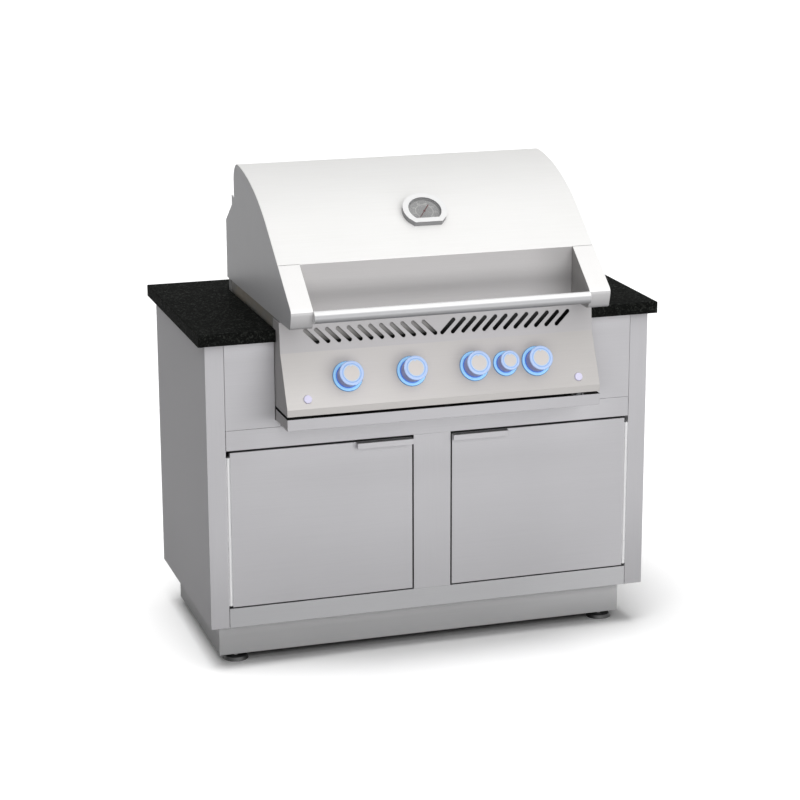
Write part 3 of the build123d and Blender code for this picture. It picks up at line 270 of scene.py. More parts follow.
class Wire:
    """A shader socket that takes part in arithmetic: each operator adds one Math node."""

    def __init__(self, nodes, socket):
        self.nodes = nodes
        self.socket = socket

    def maths(self, operation, first, second):
        return self.nodes.node("ShaderNodeMath", {"operation": operation}, {0: first, 1: second})

    def __add__(self, other):
        return self.maths("ADD", self, other)

    def __radd__(self, other):
        return self.maths("ADD", other, self)

    def __sub__(self, other):
        return self.maths("SUBTRACT", self, other)

    def __rsub__(self, other):
        return self.maths("SUBTRACT", other, self)

    def __mul__(self, other):
        return self.maths("MULTIPLY", self, other)

    def __rmul__(self, other):
        return self.maths("MULTIPLY", other, self)

    def __gt__(self, other):
        return self.maths("GREATER_THAN", self, other)

    def __lt__(self, other):
        return self.maths("LESS_THAN", self, other)

    def __or__(self, other):
        return self.maths("MAXIMUM", self, other)

    def __ror__(self, other):
        return self.maths("MAXIMUM", other, self)


class Nodes:
    """A node tree under construction."""

    def __init__(self, tree):
        self.tree = tree
        tree.nodes.clear()

    def node(self, kind, settings=None, inputs=None, output=0):
        """Adds a node: its settings first, then the values or wires of its sockets."""
        made = self.tree.nodes.new(kind)
        for key, value in (settings or {}).items():
            if key == "stops":
                self.set_stops(made.color_ramp, value)
            else:
                setattr(made, key, value)
        for key, value in (inputs or {}).items():
            if isinstance(value, Wire):
                self.tree.links.new(value.socket, made.inputs[key])
            else:
                made.inputs[key].default_value = value
        return Wire(self, made.outputs[output]) if made.outputs else None

    def set_stops(self, ramp, stops):
        """Gives a ramp its stops, as pairs of place and grey level."""
        while len(ramp.elements) < len(stops):
            ramp.elements.new(1.0)
        for element, (place, level) in zip(ramp.elements, stops):
            element.position = place
            element.color = (level, level, level, 1.0)

    def place(self, scale):
        """Coordinates of the piece itself, stretched by one scale or by one for each axis."""
        where = self.node("ShaderNodeTexCoord", output="Object")
        scales = scale if isinstance(scale, tuple) else (scale,) * 3
        return self.node("ShaderNodeVectorMath", {"operation": "MULTIPLY"}, {0: where, 1: scales})

    def noise(self, scale, detail=2.0):
        """Soft noise from 0 to 1 with so many waves per metre."""
        sockets = {"Vector": self.place(scale), "Scale": 1.0, "Detail": detail}
        return self.node("ShaderNodeTexNoise", None, sockets)

    def cells(self, scale, output, randomness=1.0):
        """Cells with so many to the metre: each one's colour, or the distance from its middle."""
        sockets = {"Vector": self.place(scale), "Scale": 1.0, "Randomness": randomness}
        return self.node("ShaderNodeTexVoronoi", None, sockets, output)

    def along(self, vector, direction):
        """How far a vector goes in a direction."""
        pair = {0: vector, 1: direction}
        return self.node("ShaderNodeVectorMath", {"operation": "DOT_PRODUCT"}, pair, "Value")

    def axis(self, direction):
        """How far the piece's points lie along an axis or a direction, in metres."""
        where = self.node("ShaderNodeTexCoord", output="Object")
        if isinstance(direction, str):
            return self.node("ShaderNodeSeparateXYZ", None, {0: where}, direction)
        return self.along(where, direction)

    def facing(self, direction):
        """How far the surface faces a direction of the piece, from -1 to 1."""
        return self.along(self.node("ShaderNodeTexCoord", output="Normal"), direction)

    def past(self, at, limit):
        """One beyond a limit, with a soft edge where the limit is a pair of places."""
        if not isinstance(limit, tuple):
            return at > limit
        return self.node(
            "ShaderNodeMapRange",
            {"interpolation_type": "SMOOTHSTEP"},
            {"Value": at, "From Min": limit[0], "From Max": limit[1]},
        )

    def between(self, direction, low, high):
        """One where the piece lies between two limits along an axis or a direction."""
        at = self.axis(direction)
        return self.past(at, low) * (1 - self.past(at, high))

    def ramp(self, value, *stops):
        """A value sent through a ramp of grey levels."""
        return self.node("ShaderNodeValToRGB", {"stops": stops}, {0: value})

    def blend(self, share, first, second):
        """A colour between two."""
        pair = [c if isinstance(c, Wire) else (*c[:3], 1.0) for c in (first, second)]
        return self.node("ShaderNodeMix", {"data_type": "RGBA"}, {0: share, 6: pair[0], 7: pair[1]}, 2)

    def bump(self, height, strength, distance):
        """A surface normal from a height."""
        return self.node("ShaderNodeBump", None, {"Strength": strength, "Distance": distance, "Height": height})

    def surface(self, **sockets):
        """The finished surface."""
        inputs = {}
        for key, value in sockets.items():
            name = key.replace("_", " ").title().replace("Ior", "IOR")
            inputs[name] = (*value, 1.0) if isinstance(value, tuple) else value
        shader = self.node("ShaderNodeBsdfPrincipled", None, inputs)
        self.node("ShaderNodeOutputMaterial", None, {"Surface": shader})


# Finishes


def finish(name):
    """A new material and its empty node tree."""
    material = bpy.data.materials.new(name)
    material.use_nodes = True
    return material, Nodes(material.node_tree)


def shade(colour, factor):
    """A colour made darker or paler."""
    return tuple(min(1.0, channel * factor) for channel in colour)


def toned(nodes, share, colour, spread, parts):
    """A colour that varies a little, in another tone where one or two coordinates lie between limits."""

    def varied(plain):
        return nodes.blend(share, shade(plain, 1 - spread), shade(plain, 1 + spread))

    tone = colour if isinstance(colour, Wire) else varied(colour)
    for axis, low, high, other, *second in parts:
        inside = nodes.between(axis, low, high)
        if second:
            inside = inside * nodes.between(*second)
        tone = nodes.blend(inside, tone, varied(other))
    return tone


def flat_ends(node, colour):
    """Parts of a finish: the flat ends at left and right, as far out as a node reaches."""
    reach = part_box(node)[1].x - END_DEPTH
    return [("X", *limits, colour) for limits in ((BELOW, -reach), (reach, ABOVE))]


def painted_front_shade(steel):
    """Parts of a finish: the cabinet's front, darker towards the floor as painted shade, and paler under the
    drip tray as painted light against the tray's shadow.
    """
    near_floor, leftward = ("Z", BELOW, (0.10, 0.50)), ("X", (-0.75, -0.35), (0.25, 0.55))
    under_tray, between_ends = ("Z", (0.48, 0.63), (0.645, 0.67)), ("X", (-0.52, -0.32), (0.32, 0.52))
    return [
        (*near_floor, shade(steel.sheet, 0.84), *leftward),
        (*under_tray, shade(steel.sheet, 1.36), *between_ends),
    ]


def brushed(name, colour, grain, metallic=0.07, roughness=0.45, parts=(), lining=None):
    """Brushed sheet: streaks along the axes with few waves, faint clouding, and a lining in its own colour."""
    material, nodes = finish(name)
    streaks = nodes.noise(grain, detail=4.0)
    clouds = nodes.noise(5.0, detail=3.0)
    tone = toned(nodes, streaks * 0.6 + clouds * 0.4, colour, spread=0.065, parts=parts)
    if lining:
        outward, dull = lining
        tone = nodes.blend(nodes.facing(outward) < -0.5, tone, dull)
    nodes.surface(
        base_color=tone,
        metallic=metallic,
        roughness=streaks * 0.16 + clouds * 0.08 + (roughness - 0.12),
        specular_ior_level=0.05,
        normal=nodes.bump(streaks, strength=0.05, distance=0.0003),
    )
    return material


def polished(name, colour, roughness=0.3, metallic=0.12, parts=()):
    """Smooth polished metal with faint wiping marks along it."""
    material, nodes = finish(name)
    wipes = nodes.noise(WIPE_GRAIN, detail=3.0)
    nodes.surface(
        base_color=toned(nodes, wipes, colour, spread=0.025, parts=parts),
        metallic=metallic,
        roughness=wipes * 0.1 + (roughness - 0.05),
        specular_ior_level=0.15,
    )
    return material


def cast(name, colour, roughness=0.4, metallic=0.08, parts=()):
    """Cast and blasted metal with a fine even grain."""
    material, nodes = finish(name)
    grit = nodes.noise(900.0, detail=3.0)
    clouds = nodes.noise(14.0, detail=3.0)
    nodes.surface(
        base_color=toned(nodes, grit * 0.4 + clouds * 0.6, colour, spread=0.04, parts=parts),
        metallic=metallic,
        roughness=grit * 0.12 + (roughness - 0.06),
        specular_ior_level=0.08,
        normal=nodes.bump(grit, strength=0.1, distance=0.0002),
    )
    return material


def moulded(name, colour, roughness=0.45, parts=()):
    """Moulded plastic with a spark-eroded grain."""
    material, nodes = finish(name)
    grain = nodes.noise(1400.0)
    dust = nodes.noise(60.0, detail=3.0)
    nodes.surface(
        base_color=toned(nodes, dust, colour, spread=0.15, parts=parts),
        roughness=grain * 0.15 + (roughness - 0.07),
        specular_ior_level=0.15,
        normal=nodes.bump(grain, strength=0.2, distance=0.0001),
    )
    return material


def scorched(name, grill, parts=()):
    """Steel that has been hot: brushed, with faint straw and blue tints in clouds."""
    material, nodes = finish(name)
    streaks = nodes.noise(HOT_GRAIN, detail=3.0)
    heat = nodes.noise((6.0, 7.0, 9.0), detail=4.0)
    straw = nodes.blend(nodes.ramp(heat, (0.45, 0.0), (0.65, 0.5)), grill.hot, grill.straw)
    tint = nodes.blend(nodes.ramp(heat, (0.58, 0.0), (0.78, 0.4)), straw, grill.blue)
    # Here the darker streaks are wear on the hot steel.
    wear_and_painted_shade = nodes.blend(streaks * 0.3, tint, shade(grill.hot, 0.6))
    nodes.surface(
        base_color=toned(nodes, streaks, wear_and_painted_shade, spread=0.05, parts=parts),
        metallic=0.7,
        roughness=heat * 0.25 + streaks * 0.1 + 0.28,
        normal=nodes.bump(streaks, strength=0.08, distance=0.0004),
    )
    return material


def iron(name, colour):
    """Cast iron with a pitted, oiled skin."""
    material, nodes = finish(name)
    pits = nodes.noise(520.0, detail=5.0)
    oil = nodes.noise(18.0, detail=3.0)
    nodes.surface(
        base_color=nodes.blend(pits, shade(colour, 0.6), shade(colour, 1.5)),
        metallic=0.2,
        roughness=oil * 0.25 + pits * 0.2 + 0.3,
        specular_ior_level=0.4,
        normal=nodes.bump(pits, strength=0.4, distance=0.0005),
    )
    return material


def granite(name, stone):
    """Polished dark granite: crystals of two sizes in a near-black ground."""
    material, nodes = finish(name)
    fine = 1.0 / stone.grain
    large = nodes.cells(fine, "Color")
    small = nodes.cells(2.6 * fine, "Color")
    clouds = nodes.noise(40.0, detail=4.0)
    flakes = nodes.ramp(large, (0.62, 0.0), (0.86, 0.75))
    sparks = nodes.ramp(small, (0.74, 0.0), (0.92, 1.0))
    crystals = (flakes | sparks) * nodes.ramp(clouds, (0.32, 0.25), (0.62, 1.0))
    nodes.surface(
        base_color=nodes.blend(crystals, stone.ground, stone.crystal),
        roughness=0.62 - crystals * 0.15,
        specular_ior_level=0.004,
        normal=nodes.bump(crystals, strength=0.05, distance=0.0002),
    )
    return material


def glowing(name, colour, strength):
    """A lit lens of frosted plastic."""
    material, nodes = finish(name)
    frost = nodes.noise(900.0)
    tone = nodes.blend(frost, shade(colour, 0.92), shade(colour, 1.06))
    nodes.surface(
        base_color=tone,
        roughness=frost * 0.2 + 0.3,
        emission_color=tone,
        emission_strength=strength,
        specular_ior_level=0.15,
    )
    return material


def paint(material, *names):
    """Gives CAD nodes a finish and rounds their edges a little."""
    for name in names:
        node = frame["nodes"][name]
        node.data.materials.clear()
        node.data.materials.append(material)
        soften(node)


# Mesh building


def soft_corners():
    """The node group that joins a CAD mesh's faces and smooths its shallow edges."""
    found = bpy.data.node_groups.get("soft_corners")
    if found:
        return found
    group = bpy.data.node_groups.new("soft_corners", "GeometryNodeTree")
    for way in ("INPUT", "OUTPUT"):
        group.interface.new_socket("Geometry", in_out=way, socket_type="NodeSocketGeometry")
    nodes = Nodes(group)
    mesh = nodes.node("NodeGroupInput")
    joined = nodes.node("GeometryNodeMergeByDistance", None, {"Geometry": mesh, "Distance": JOIN_DISTANCE})
    angle = nodes.node("GeometryNodeInputMeshEdgeAngle")
    sharp = nodes.node("FunctionNodeCompare", {"operation": "GREATER_THAN"}, {"A": angle, "B": SMOOTH_ANGLE})
    smoothed = nodes.node(
        "GeometryNodeSetMeshNormal",
        {"mode": "SHARPNESS"},
        {"Mesh": joined, "Remove Custom": True, "Edge Sharpness": sharp},
    )
    nodes.node("NodeGroupOutput", None, {"Geometry": smoothed})
    return group


def soften(node):
    """Joins, smooths and bevels a CAD node by modifiers, with its own mesh left as it is."""
    node.modifiers.new("soft corners", "NODES").node_group = soft_corners()
    bevel = node.modifiers.new("edge", "BEVEL")
    bevel.width = look().steel.edge
    bevel.segments = 2
    bevel.limit_method = "ANGLE"
    bevel.angle_limit = BEVEL_ANGLE
    bevel.harden_normals = True


def on_face(point, outward):
    """Local axes on a leaning face: X to the right, Y up the face, Z out of it."""
    out = Vector(outward).normalized()
    right = Vector((1, 0, 0))
    turn = Matrix((right, out.cross(right), out)).transposed().to_4x4()
    return Matrix.Translation(point) @ turn


def on_knob(name):
    """A knob's radius, and local axes on the panel where its stem goes through."""
    joint = joints[f"{name}_turn"]
    low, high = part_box(name)
    return (high.x - low.x) / 2, on_face(joint["pos_m"], joint["axis"])


def rounded(centre, reach, turns):
    """Points of radius and height on an oval arc, at turns in degrees."""
    angles = [math.radians(turn) for turn in turns]
    return [(centre[0] + reach[0] * math.cos(a), centre[1] + reach[1] * math.sin(a)) for a in angles]


def one_finish(points):
    """Rings of a turned form that has a single finish."""
    return [(radius, height, 0) for radius, height in points]


def turned(mesh, profile, matrix, steps=TURN_STEPS):
    """Adds a turned form: rings of radius and height, each with the finish of the band that follows it."""
    rings = []
    for radius, height, _ in profile:
        count = steps if radius > 0 else 1
        angles = [2 * math.pi * step / count for step in range(count)]
        points = [matrix @ Vector((radius * math.cos(a), radius * math.sin(a), height)) for a in angles]
        rings.append([mesh.verts.new(point) for point in points])
    for low, high, (_, _, slot) in zip(rings, rings[1:], profile):
        for step in range(steps):
            after = step + 1
            places = ((low, step), (low, after), (high, after), (high, step))
            corners = [ring[place % len(ring)] for ring, place in places]
            face = mesh.faces.new(list(dict.fromkeys(corners)))
            face.material_index = slot


def plate(mesh, matrix, width, length, thickness, slot):
    """Adds a flat plate that stands on the local XY plane."""
    grown = bmesh.ops.create_cube(mesh, size=1.0)["verts"]
    scale = Matrix.Diagonal((width, length, thickness, 1.0))
    bmesh.ops.transform(mesh, matrix=matrix @ scale @ Matrix.Translation((0, 0, 0.5)), verts=grown)
    for face in {face for vert in grown for face in vert.link_faces}:
        face.material_index = slot


def prism(mesh, matrix, outline, length):
    """Adds a section on the local XY plane, drawn out along local Z."""
    first, last = [
        [mesh.verts.new(matrix @ Vector((*point, along))) for point in outline] for along in (0.0, length)
    ]
    mesh.faces.new(reversed(first))
    mesh.faces.new(last)
    for index in range(len(outline)):
        after = (index + 1) % len(outline)
        mesh.faces.new([first[index], first[after], last[after], last[index]])


def make_piece(mesh, name, body, materials, replaced=()):
    """Turns built geometry into a piece that rides on a body."""
    bmesh.ops.recalc_face_normals(mesh, faces=mesh.faces)
    data = bpy.data.meshes.new(name)
    mesh.to_mesh(data)
    mesh.free()
    for polygon in data.polygons:
        polygon.use_smooth = True
    data.set_sharp_from_angle(angle=CREASE_ANGLE)
    for material in materials:
        data.materials.append(material)
    piece = bpy.data.objects.new(name, data)
    bpy.context.scene.collection.objects.link(piece)
    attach(piece, body)
    if replaced:
        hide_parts(*replaced)
    return piece


# Pieces


class KITCHEN_OT_cabinet(bpy.types.Operator):
    """Brushed steel on the cabinet's panels, rails and plinth, and on the drip tray"""

    bl_idname = "kitchen.cabinet"
    bl_label = "Cabinet"

    def execute(self, context):
        steel = look().steel
        # The front's tones here are painted shade near the floor and painted light under the drip tray.
        sheet, wear_and_painted_shade = steel.sheet, painted_front_shade(steel)
        folds = ("Y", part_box("front_rails")[0].y + FACE_DEPTH, ABOVE, steel.returns)
        fascia = [*wear_and_painted_shade, *self.fascia_parts(steel)]
        paint(brushed("brushed_fascia", sheet, LEVEL_GRAIN, parts=fascia), "fascia_panels")
        paint(brushed("brushed_sheet", sheet, LEVEL_GRAIN), "back_panel")
        rails = [*wear_and_painted_shade, *self.rail_parts(steel), folds]
        paint(brushed("brushed_rail", sheet, LEVEL_GRAIN, parts=rails), "front_rails")
        posts = brushed("brushed_post", sheet, UPRIGHT_GRAIN, parts=self.post_parts(steel))
        paint(posts, "left_side_panel", "right_side_panel")
        paint(brushed("brushed_mullion", sheet, UPRIGHT_GRAIN, parts=[*wear_and_painted_shade, folds]), "mullion")
        paint(brushed("plinth_sheet", steel.plinth, LEVEL_GRAIN, parts=self.plinth_parts(steel)), "plinth")
        paint(brushed("tray_sheet", steel.tray, LEVEL_GRAIN, parts=self.tray_parts(steel)), "drip_tray")
        mill = brushed("mill_sheet", steel.inside, MILL_GRAIN, metallic=0.25, roughness=0.5)
        paint(mill, "floor_tray", "grill_shelf", "grill_cradle", "rear_housing")
        return {"FINISHED"}

    def fascia_parts(self, steel):
        """Painted light on the sheet under the worktop, against the worktop's shadow, and painted shade behind
        the drip tray, short of its ends.
        """
        margin = 0.012
        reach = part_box("drip_tray")[1].x - margin
        eaves = ("Z", (0.80, 0.85), ABOVE, shade(steel.sheet, 1.2))
        return [eaves, ("Z", TRAY_GAP_Z, ABOVE, steel.gap, "X", -reach, reach)]

    def rail_parts(self, steel):
        """The bottom rail, a little darker as painted shade near the floor, and paler to the right as painted
        light.
        """
        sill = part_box("door_left_skin")[0].z
        paler = ("Z", BELOW, sill, shade(steel.rail, 1.13), "X", (0.15, 0.55), ABOVE)
        return [("Z", BELOW, sill, shade(steel.rail, 0.96)), paler]

    def post_parts(self, steel):
        """The outer faces of the side panels darker as painted shade, and both panels darker towards the floor
        as painted shade.
        """
        painted_shade = ("Z", BELOW, (0.08, 0.40), shade(steel.sheet, 0.84))
        return [*flat_ends("right_side_panel", shade(steel.sheet, 0.93)), painted_shade]

    def plinth_parts(self, steel):
        """The plinth, paler to the right and at its top as painted light against the shadow of the cabinet
        above, and darker towards the floor as painted shade.
        """
        return [
            ("X", (0.1, 0.5), ABOVE, shade(steel.plinth, 1.25)),
            ("Z", BELOW, (0.01, 0.09), shade(steel.plinth, 0.71)),
            ("Z", (0.062, 0.095), ABOVE, shade(steel.plinth, 1.5)),
        ]

    def tray_parts(self, steel):
        """The drip tray's inside with its grease, its top rim near-black as painted shade of the gap under the
        panel's lip, and its flat ends in painted shade.
        """
        front_wall = 0.0022
        low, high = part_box("drip_tray")
        inside = ("Y", low.y + front_wall, ABOVE, look().grill.grease)
        # The rim's near-black tone is painted shade of the gap above it.
        rim = ("Z", high.z - EDGE_DEPTH, ABOVE, look().grill.rim)
        return [inside, *flat_ends("drip_tray", steel.painted_end_shade), rim]


class KITCHEN_OT_doors(bpy.types.Operator):
    """Brushed skins, dull liners, finger pulls, hinges and catches of the doors"""

    bl_idname = "kitchen.doors"
    bl_label = "Doors"

    def execute(self, context):
        steel = look().steel
        # The doors' tones here are painted shade near the floor and painted light under the drip tray.
        wear_and_painted_shade = painted_front_shade(steel)
        folds = ("Y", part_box("door_left_skin")[0].y + FACE_DEPTH, ABOVE, steel.returns)
        top = ("Z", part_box("door_left_pull")[1].z - EDGE_DEPTH, ABOVE, steel.pull_top)
        skin = brushed("door_sheet", steel.sheet, LEVEL_GRAIN, parts=[*wear_and_painted_shade, folds])
        pull = brushed("pull_sheet", steel.sheet, LEVEL_GRAIN, parts=[*wear_and_painted_shade, top])
        liner = brushed("door_liner", steel.inside, LINER_GRAIN, metallic=0.25, roughness=0.5)
        hinge = polished("hinge_steel", steel.hinge)
        for side in SIDES:
            paint(skin, f"door_{side}_skin")
            paint(pull, f"door_{side}_pull")
            paint(liner, f"door_{side}_liner")
            paint(hinge, f"door_{side}_hinge_leaf", f"post_{side}_hinge_leaf")
        paint(moulded("catch_plastic", look().fittings.catch), "door_catches")
        return {"FINISHED"}


class KITCHEN_OT_worktop(bpy.types.Operator):
    """Dark polished granite on the worktop"""

    bl_idname = "kitchen.worktop"
    bl_label = "Worktop"

    def execute(self, context):
        paint(granite("dark_granite", look().stone), "worktop")
        return {"FINISHED"}


class KITCHEN_OT_firebox(bpy.types.Operator):
    """Heat-tinted firebox, burners, tamers and rack, iron grids, gas valves and pipes"""

    bl_idname = "kitchen.firebox"
    bl_label = "Firebox and gas"

    def execute(self, context):
        grill, wall = look().grill, 0.003
        front = ("Y", BELOW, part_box("firebox")[0].y + wall, grill.front)
        paint(scorched("firebox_steel", grill, [front]), "firebox")
        paint(scorched("scorched_steel", grill), "flame_tamers", "burner_tubes", "warming_rack")
        paint(iron("grid_iron", grill.grid), "cooking_grids")
        brass = cast("valve_brass", grill.brass, roughness=0.35, metallic=0.8)
        paint(brass, "gas_valves", *[f"valve_plug_{number}" for number in range(1, 6)])
        paint(cast("gas_pipe", grill.pipe, metallic=0.7), "gas_pipes")
        paint(self.burner_tile(grill), "rear_burner")
        return {"FINISHED"}

    def burner_tile(self, grill):
        """Ceramic tile with rows of flame holes inside a steel rim."""
        rim_depth = 0.006
        material, nodes = finish("burner_tile")
        inside = nodes.axis("Y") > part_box("rear_burner")[0].y + rim_depth
        holes = nodes.ramp(nodes.cells(160.0, "Distance", randomness=0.15), (0.22, 0.0), (0.3, 1.0))
        clay = nodes.blend(holes, grill.hole, grill.tile)
        nodes.surface(
            base_color=nodes.blend(inside, grill.tile_rim, clay),
            metallic=0.7 - inside * 0.7,
            roughness=inside * 0.5 + 0.38,
            normal=nodes.bump(holes * inside, strength=0.5, distance=0.001),
        )
        return material


class KITCHEN_OT_control_panel(bpy.types.Operator):
    """Brushed control panel, the baffle behind its left slots, its button housings and the two pale buttons"""

    bl_idname = "kitchen.control_panel"
    bl_label = "Control panel"

    def execute(self, context):
        steel = look().steel
        # The panel's flat ends take painted shade.
        parts = [*self.face_parts(steel), *flat_ends("control_panel", steel.painted_end_shade)]
        paint(brushed("panel_sheet", steel.grille, PANEL_GRAIN, parts=parts), "control_panel")
        paint(moulded("switch_plastic", look().fittings.switch), "button_housings")
        # The baffle's lower part is darker as painted shade deep in the slots.
        low_baffle_shade = ("Z", BELOW, (0.845, 0.880), look().grill.baffle_shade)
        strip = brushed("baffle_sheet", steel.baffle, BAFFLE_GRAIN, metallic=0.1, roughness=0.5, parts=[low_baffle_shade])
        self.baffle(strip)
        cap = glowing("button_cap", look().knobs.button, strength=0.12)
        for side in SIDES:
            self.button(f"button_{side}", cap)
        return {"FINISHED"}

    def face_parts(self, steel):
        """The leaning face, darker to the right and paler low at the left, and the lip below it darker: painted
        shade and painted light.
        """
        return [
            ("Z", BELOW, FOLD_Z, shade(steel.panel, 0.98)),
            ("Z", BELOW, FOLD_Z, shade(steel.panel, 0.91), "X", (-0.2, 0.2), ABOVE),
            ("Z", BELOW, (0.71, 0.80), shade(steel.panel, 1.08), "X", BELOW, (-0.35, 0.1)),
            ("Z", BELOW, PANEL_LIP_Z, shade(steel.panel, 0.93)),
        ]

    def baffle(self, strip):
        """A folded strip that hangs from the panel's top behind the left slots."""
        left, right, front = -0.347, -0.003, -0.2452
        thick, flange, lean, drop, panel_wall = 0.0012, 0.022, 0.0052, 0.051, 0.002
        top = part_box("control_panel")[1].z - panel_wall
        low, foot = top - drop, front - lean
        outer = [(front + flange, top), (front, top), (foot, low)]
        inner = [(foot + thick, low), (front + thick, top - thick), (front + flange, top - thick)]
        across = Matrix(((0, 0, 1, left), (1, 0, 0, 0), (0, 1, 0, 0), (0, 0, 0, 1)))
        mesh = bmesh.new()
        prism(mesh, across, [*outer, *inner], right - left)
        make_piece(mesh, "slot_baffle", "cabinet", [strip])

    def button(self, name, cap):
        """A push button with a domed, softly rounded cap."""
        low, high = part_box(name)
        matrix = on_face((low + high) / 2, joints["knob_1_turn"]["axis"])
        radius, half = (high.x - low.x) / 2, self.half_length(low, high, matrix)
        corner, crown = (0.0018, 0.0014), 0.0002
        shoulder = half - 0.0022
        rings = [(0.0, -half), (radius, -half), (radius, shoulder)]
        rings += rounded((radius - corner[0], shoulder), corner, range(18, 91, 18))
        rings += [(radius * 0.5, half - crown), (0.0, half)]
        mesh = bmesh.new()
        turned(mesh, one_finish(rings), matrix, CAP_STEPS)
        make_piece(mesh, f"{name}_cap", name, [cap], [name])

    def half_length(self, low, high, matrix):
        """Half the length of a leaning round bar from its box."""
        out = matrix.col[2]
        tall, radius = high.z - low.z, (high.x - low.x) / 2
        return (tall - 2 * radius * abs(out.y)) / (2 * abs(out.z))


class KITCHEN_OT_knobs(bpy.types.Operator):
    """Turned knobs with a pale rim, a lit groove and a hollow face with a pointer, on their square stems"""

    bl_idname = "kitchen.knobs"
    bl_label = "Knobs"

    def execute(self, context):
        knobs = look().knobs
        # The side's tint is painted light and the rim's blue a painted reflection of the ring lights.
        finishes = [
            cast("knob_side", knobs.metal, roughness=0.34),
            polished("knob_rim", knobs.rim),
            glowing("knob_groove", knobs.groove, strength=0.1),
            glowing("knob_band", knobs.band, strength=0.06),
            cast("knob_face", knobs.face, roughness=0.36),
        ]
        for name in KNOBS:
            self.knob(name, knobs, finishes)
        return {"FINISHED"}

    def knob(self, name, knobs, finishes):
        """One knob, from its skirt up the flared side, over the rim and into the hollow face."""
        side, rim, groove, band, face = range(len(finishes))
        radius, matrix = on_knob(name)
        foot, skirt, neck, top = -0.030, 0.005, 0.040, 0.043  # heights from the panel outwards
        flare, chamfer, curl, stem = 0.003, 0.0006, 0.0025, 0.006
        waist, hollow, level = radius - flare, 0.62 * radius, top - 0.0006
        rings = [(0.0, skirt, side), (waist - chamfer, skirt, side), (waist, skirt + chamfer, side)]
        for share in (0.25, 0.5, 0.75):
            rings.append((waist + flare * share**1.6, skirt + (neck - skirt) * share, side))
        rings.append((radius, neck, rim))
        rings += [(*point, rim) for point in rounded((radius - curl, neck), (curl, curl), range(15, 91, 15))]
        rings += [
            (0.775 * radius, top - 0.0005, groove),
            (0.760 * radius, top - 0.0010, groove),
            (0.715 * radius, top - 0.0010, groove),
            (0.700 * radius, level, band),
            (hollow, level, face),
            (0.6 * hollow, level - knobs.dish * 0.7, face),
            (0.0, level - knobs.dish, face),
        ]
        mesh = bmesh.new()
        turned(mesh, rings, matrix)
        plate(mesh, matrix @ Matrix.Translation((0, 0, foot)), stem, stem, skirt - foot, side)
        self.pointer(mesh, matrix @ Matrix.Translation((0, hollow, top)), knobs, band)
        make_piece(mesh, f"{name}_turned", name, finishes, [name])

    def pointer(self, mesh, edge, knobs, slot):
        """The tooth on the inner edge of a knob's band."""
        inward, sunk, length, thick = 0.0008, 0.0014, 0.0036, 0.0009
        plate(mesh, edge @ Matrix.Translation((0, -inward, -sunk)), knobs.tooth, length, thick, slot)


class KITCHEN_OT_ring_lights(bpy.types.Operator):
    """Lit ring lenses round the knobs, with the deeper glow between lens and knob"""

    bl_idname = "kitchen.ring_lights"
    bl_label = "Ring lights"

    def execute(self, context):
        knobs = look().knobs
        lens = glowing("ring_lens", knobs.glow, strength=0.24)
        well = glowing("ring_well", knobs.well, strength=0.4)
        # The wall tone, on the lens's outer wall and lower crown, is painted shade.
        wall = moulded("ring_wall", knobs.wall)
        mesh = bmesh.new()
        for name in KNOBS:
            self.ring(mesh, name, knobs)
        make_piece(mesh, "knob_ring_lenses", "cabinet", [lens, well, wall], ["knob_light_rings"])
        return {"FINISHED"}

    def ring(self, mesh, name, knobs):
        """One crowned lens with its outer wall, and the well inside it round the stem."""
        lens, well, wall = range(3)
        radius, matrix = on_knob(name)
        margin, bore, floor, crown = 0.007, 0.007, 0.0012, 0.0018
        outer, half = radius + margin, knobs.lens_width / 2
        inner, base = outer - knobs.lens_width, knobs.lens_height - crown
        rings = [(bore, 0.0, wall), (outer, 0.0, wall), (outer, base, wall)]
        turns = range(15, 166, 15)
        for turn, point in zip(turns, rounded((outer - half, base), (half, crown), turns)):
            rings.append((*point, wall if turn < 45 else lens))
        rings += [(inner, base, well), (inner, floor, well), (bore, floor, well), (bore, 0.0, well)]
        turned(mesh, rings, matrix)


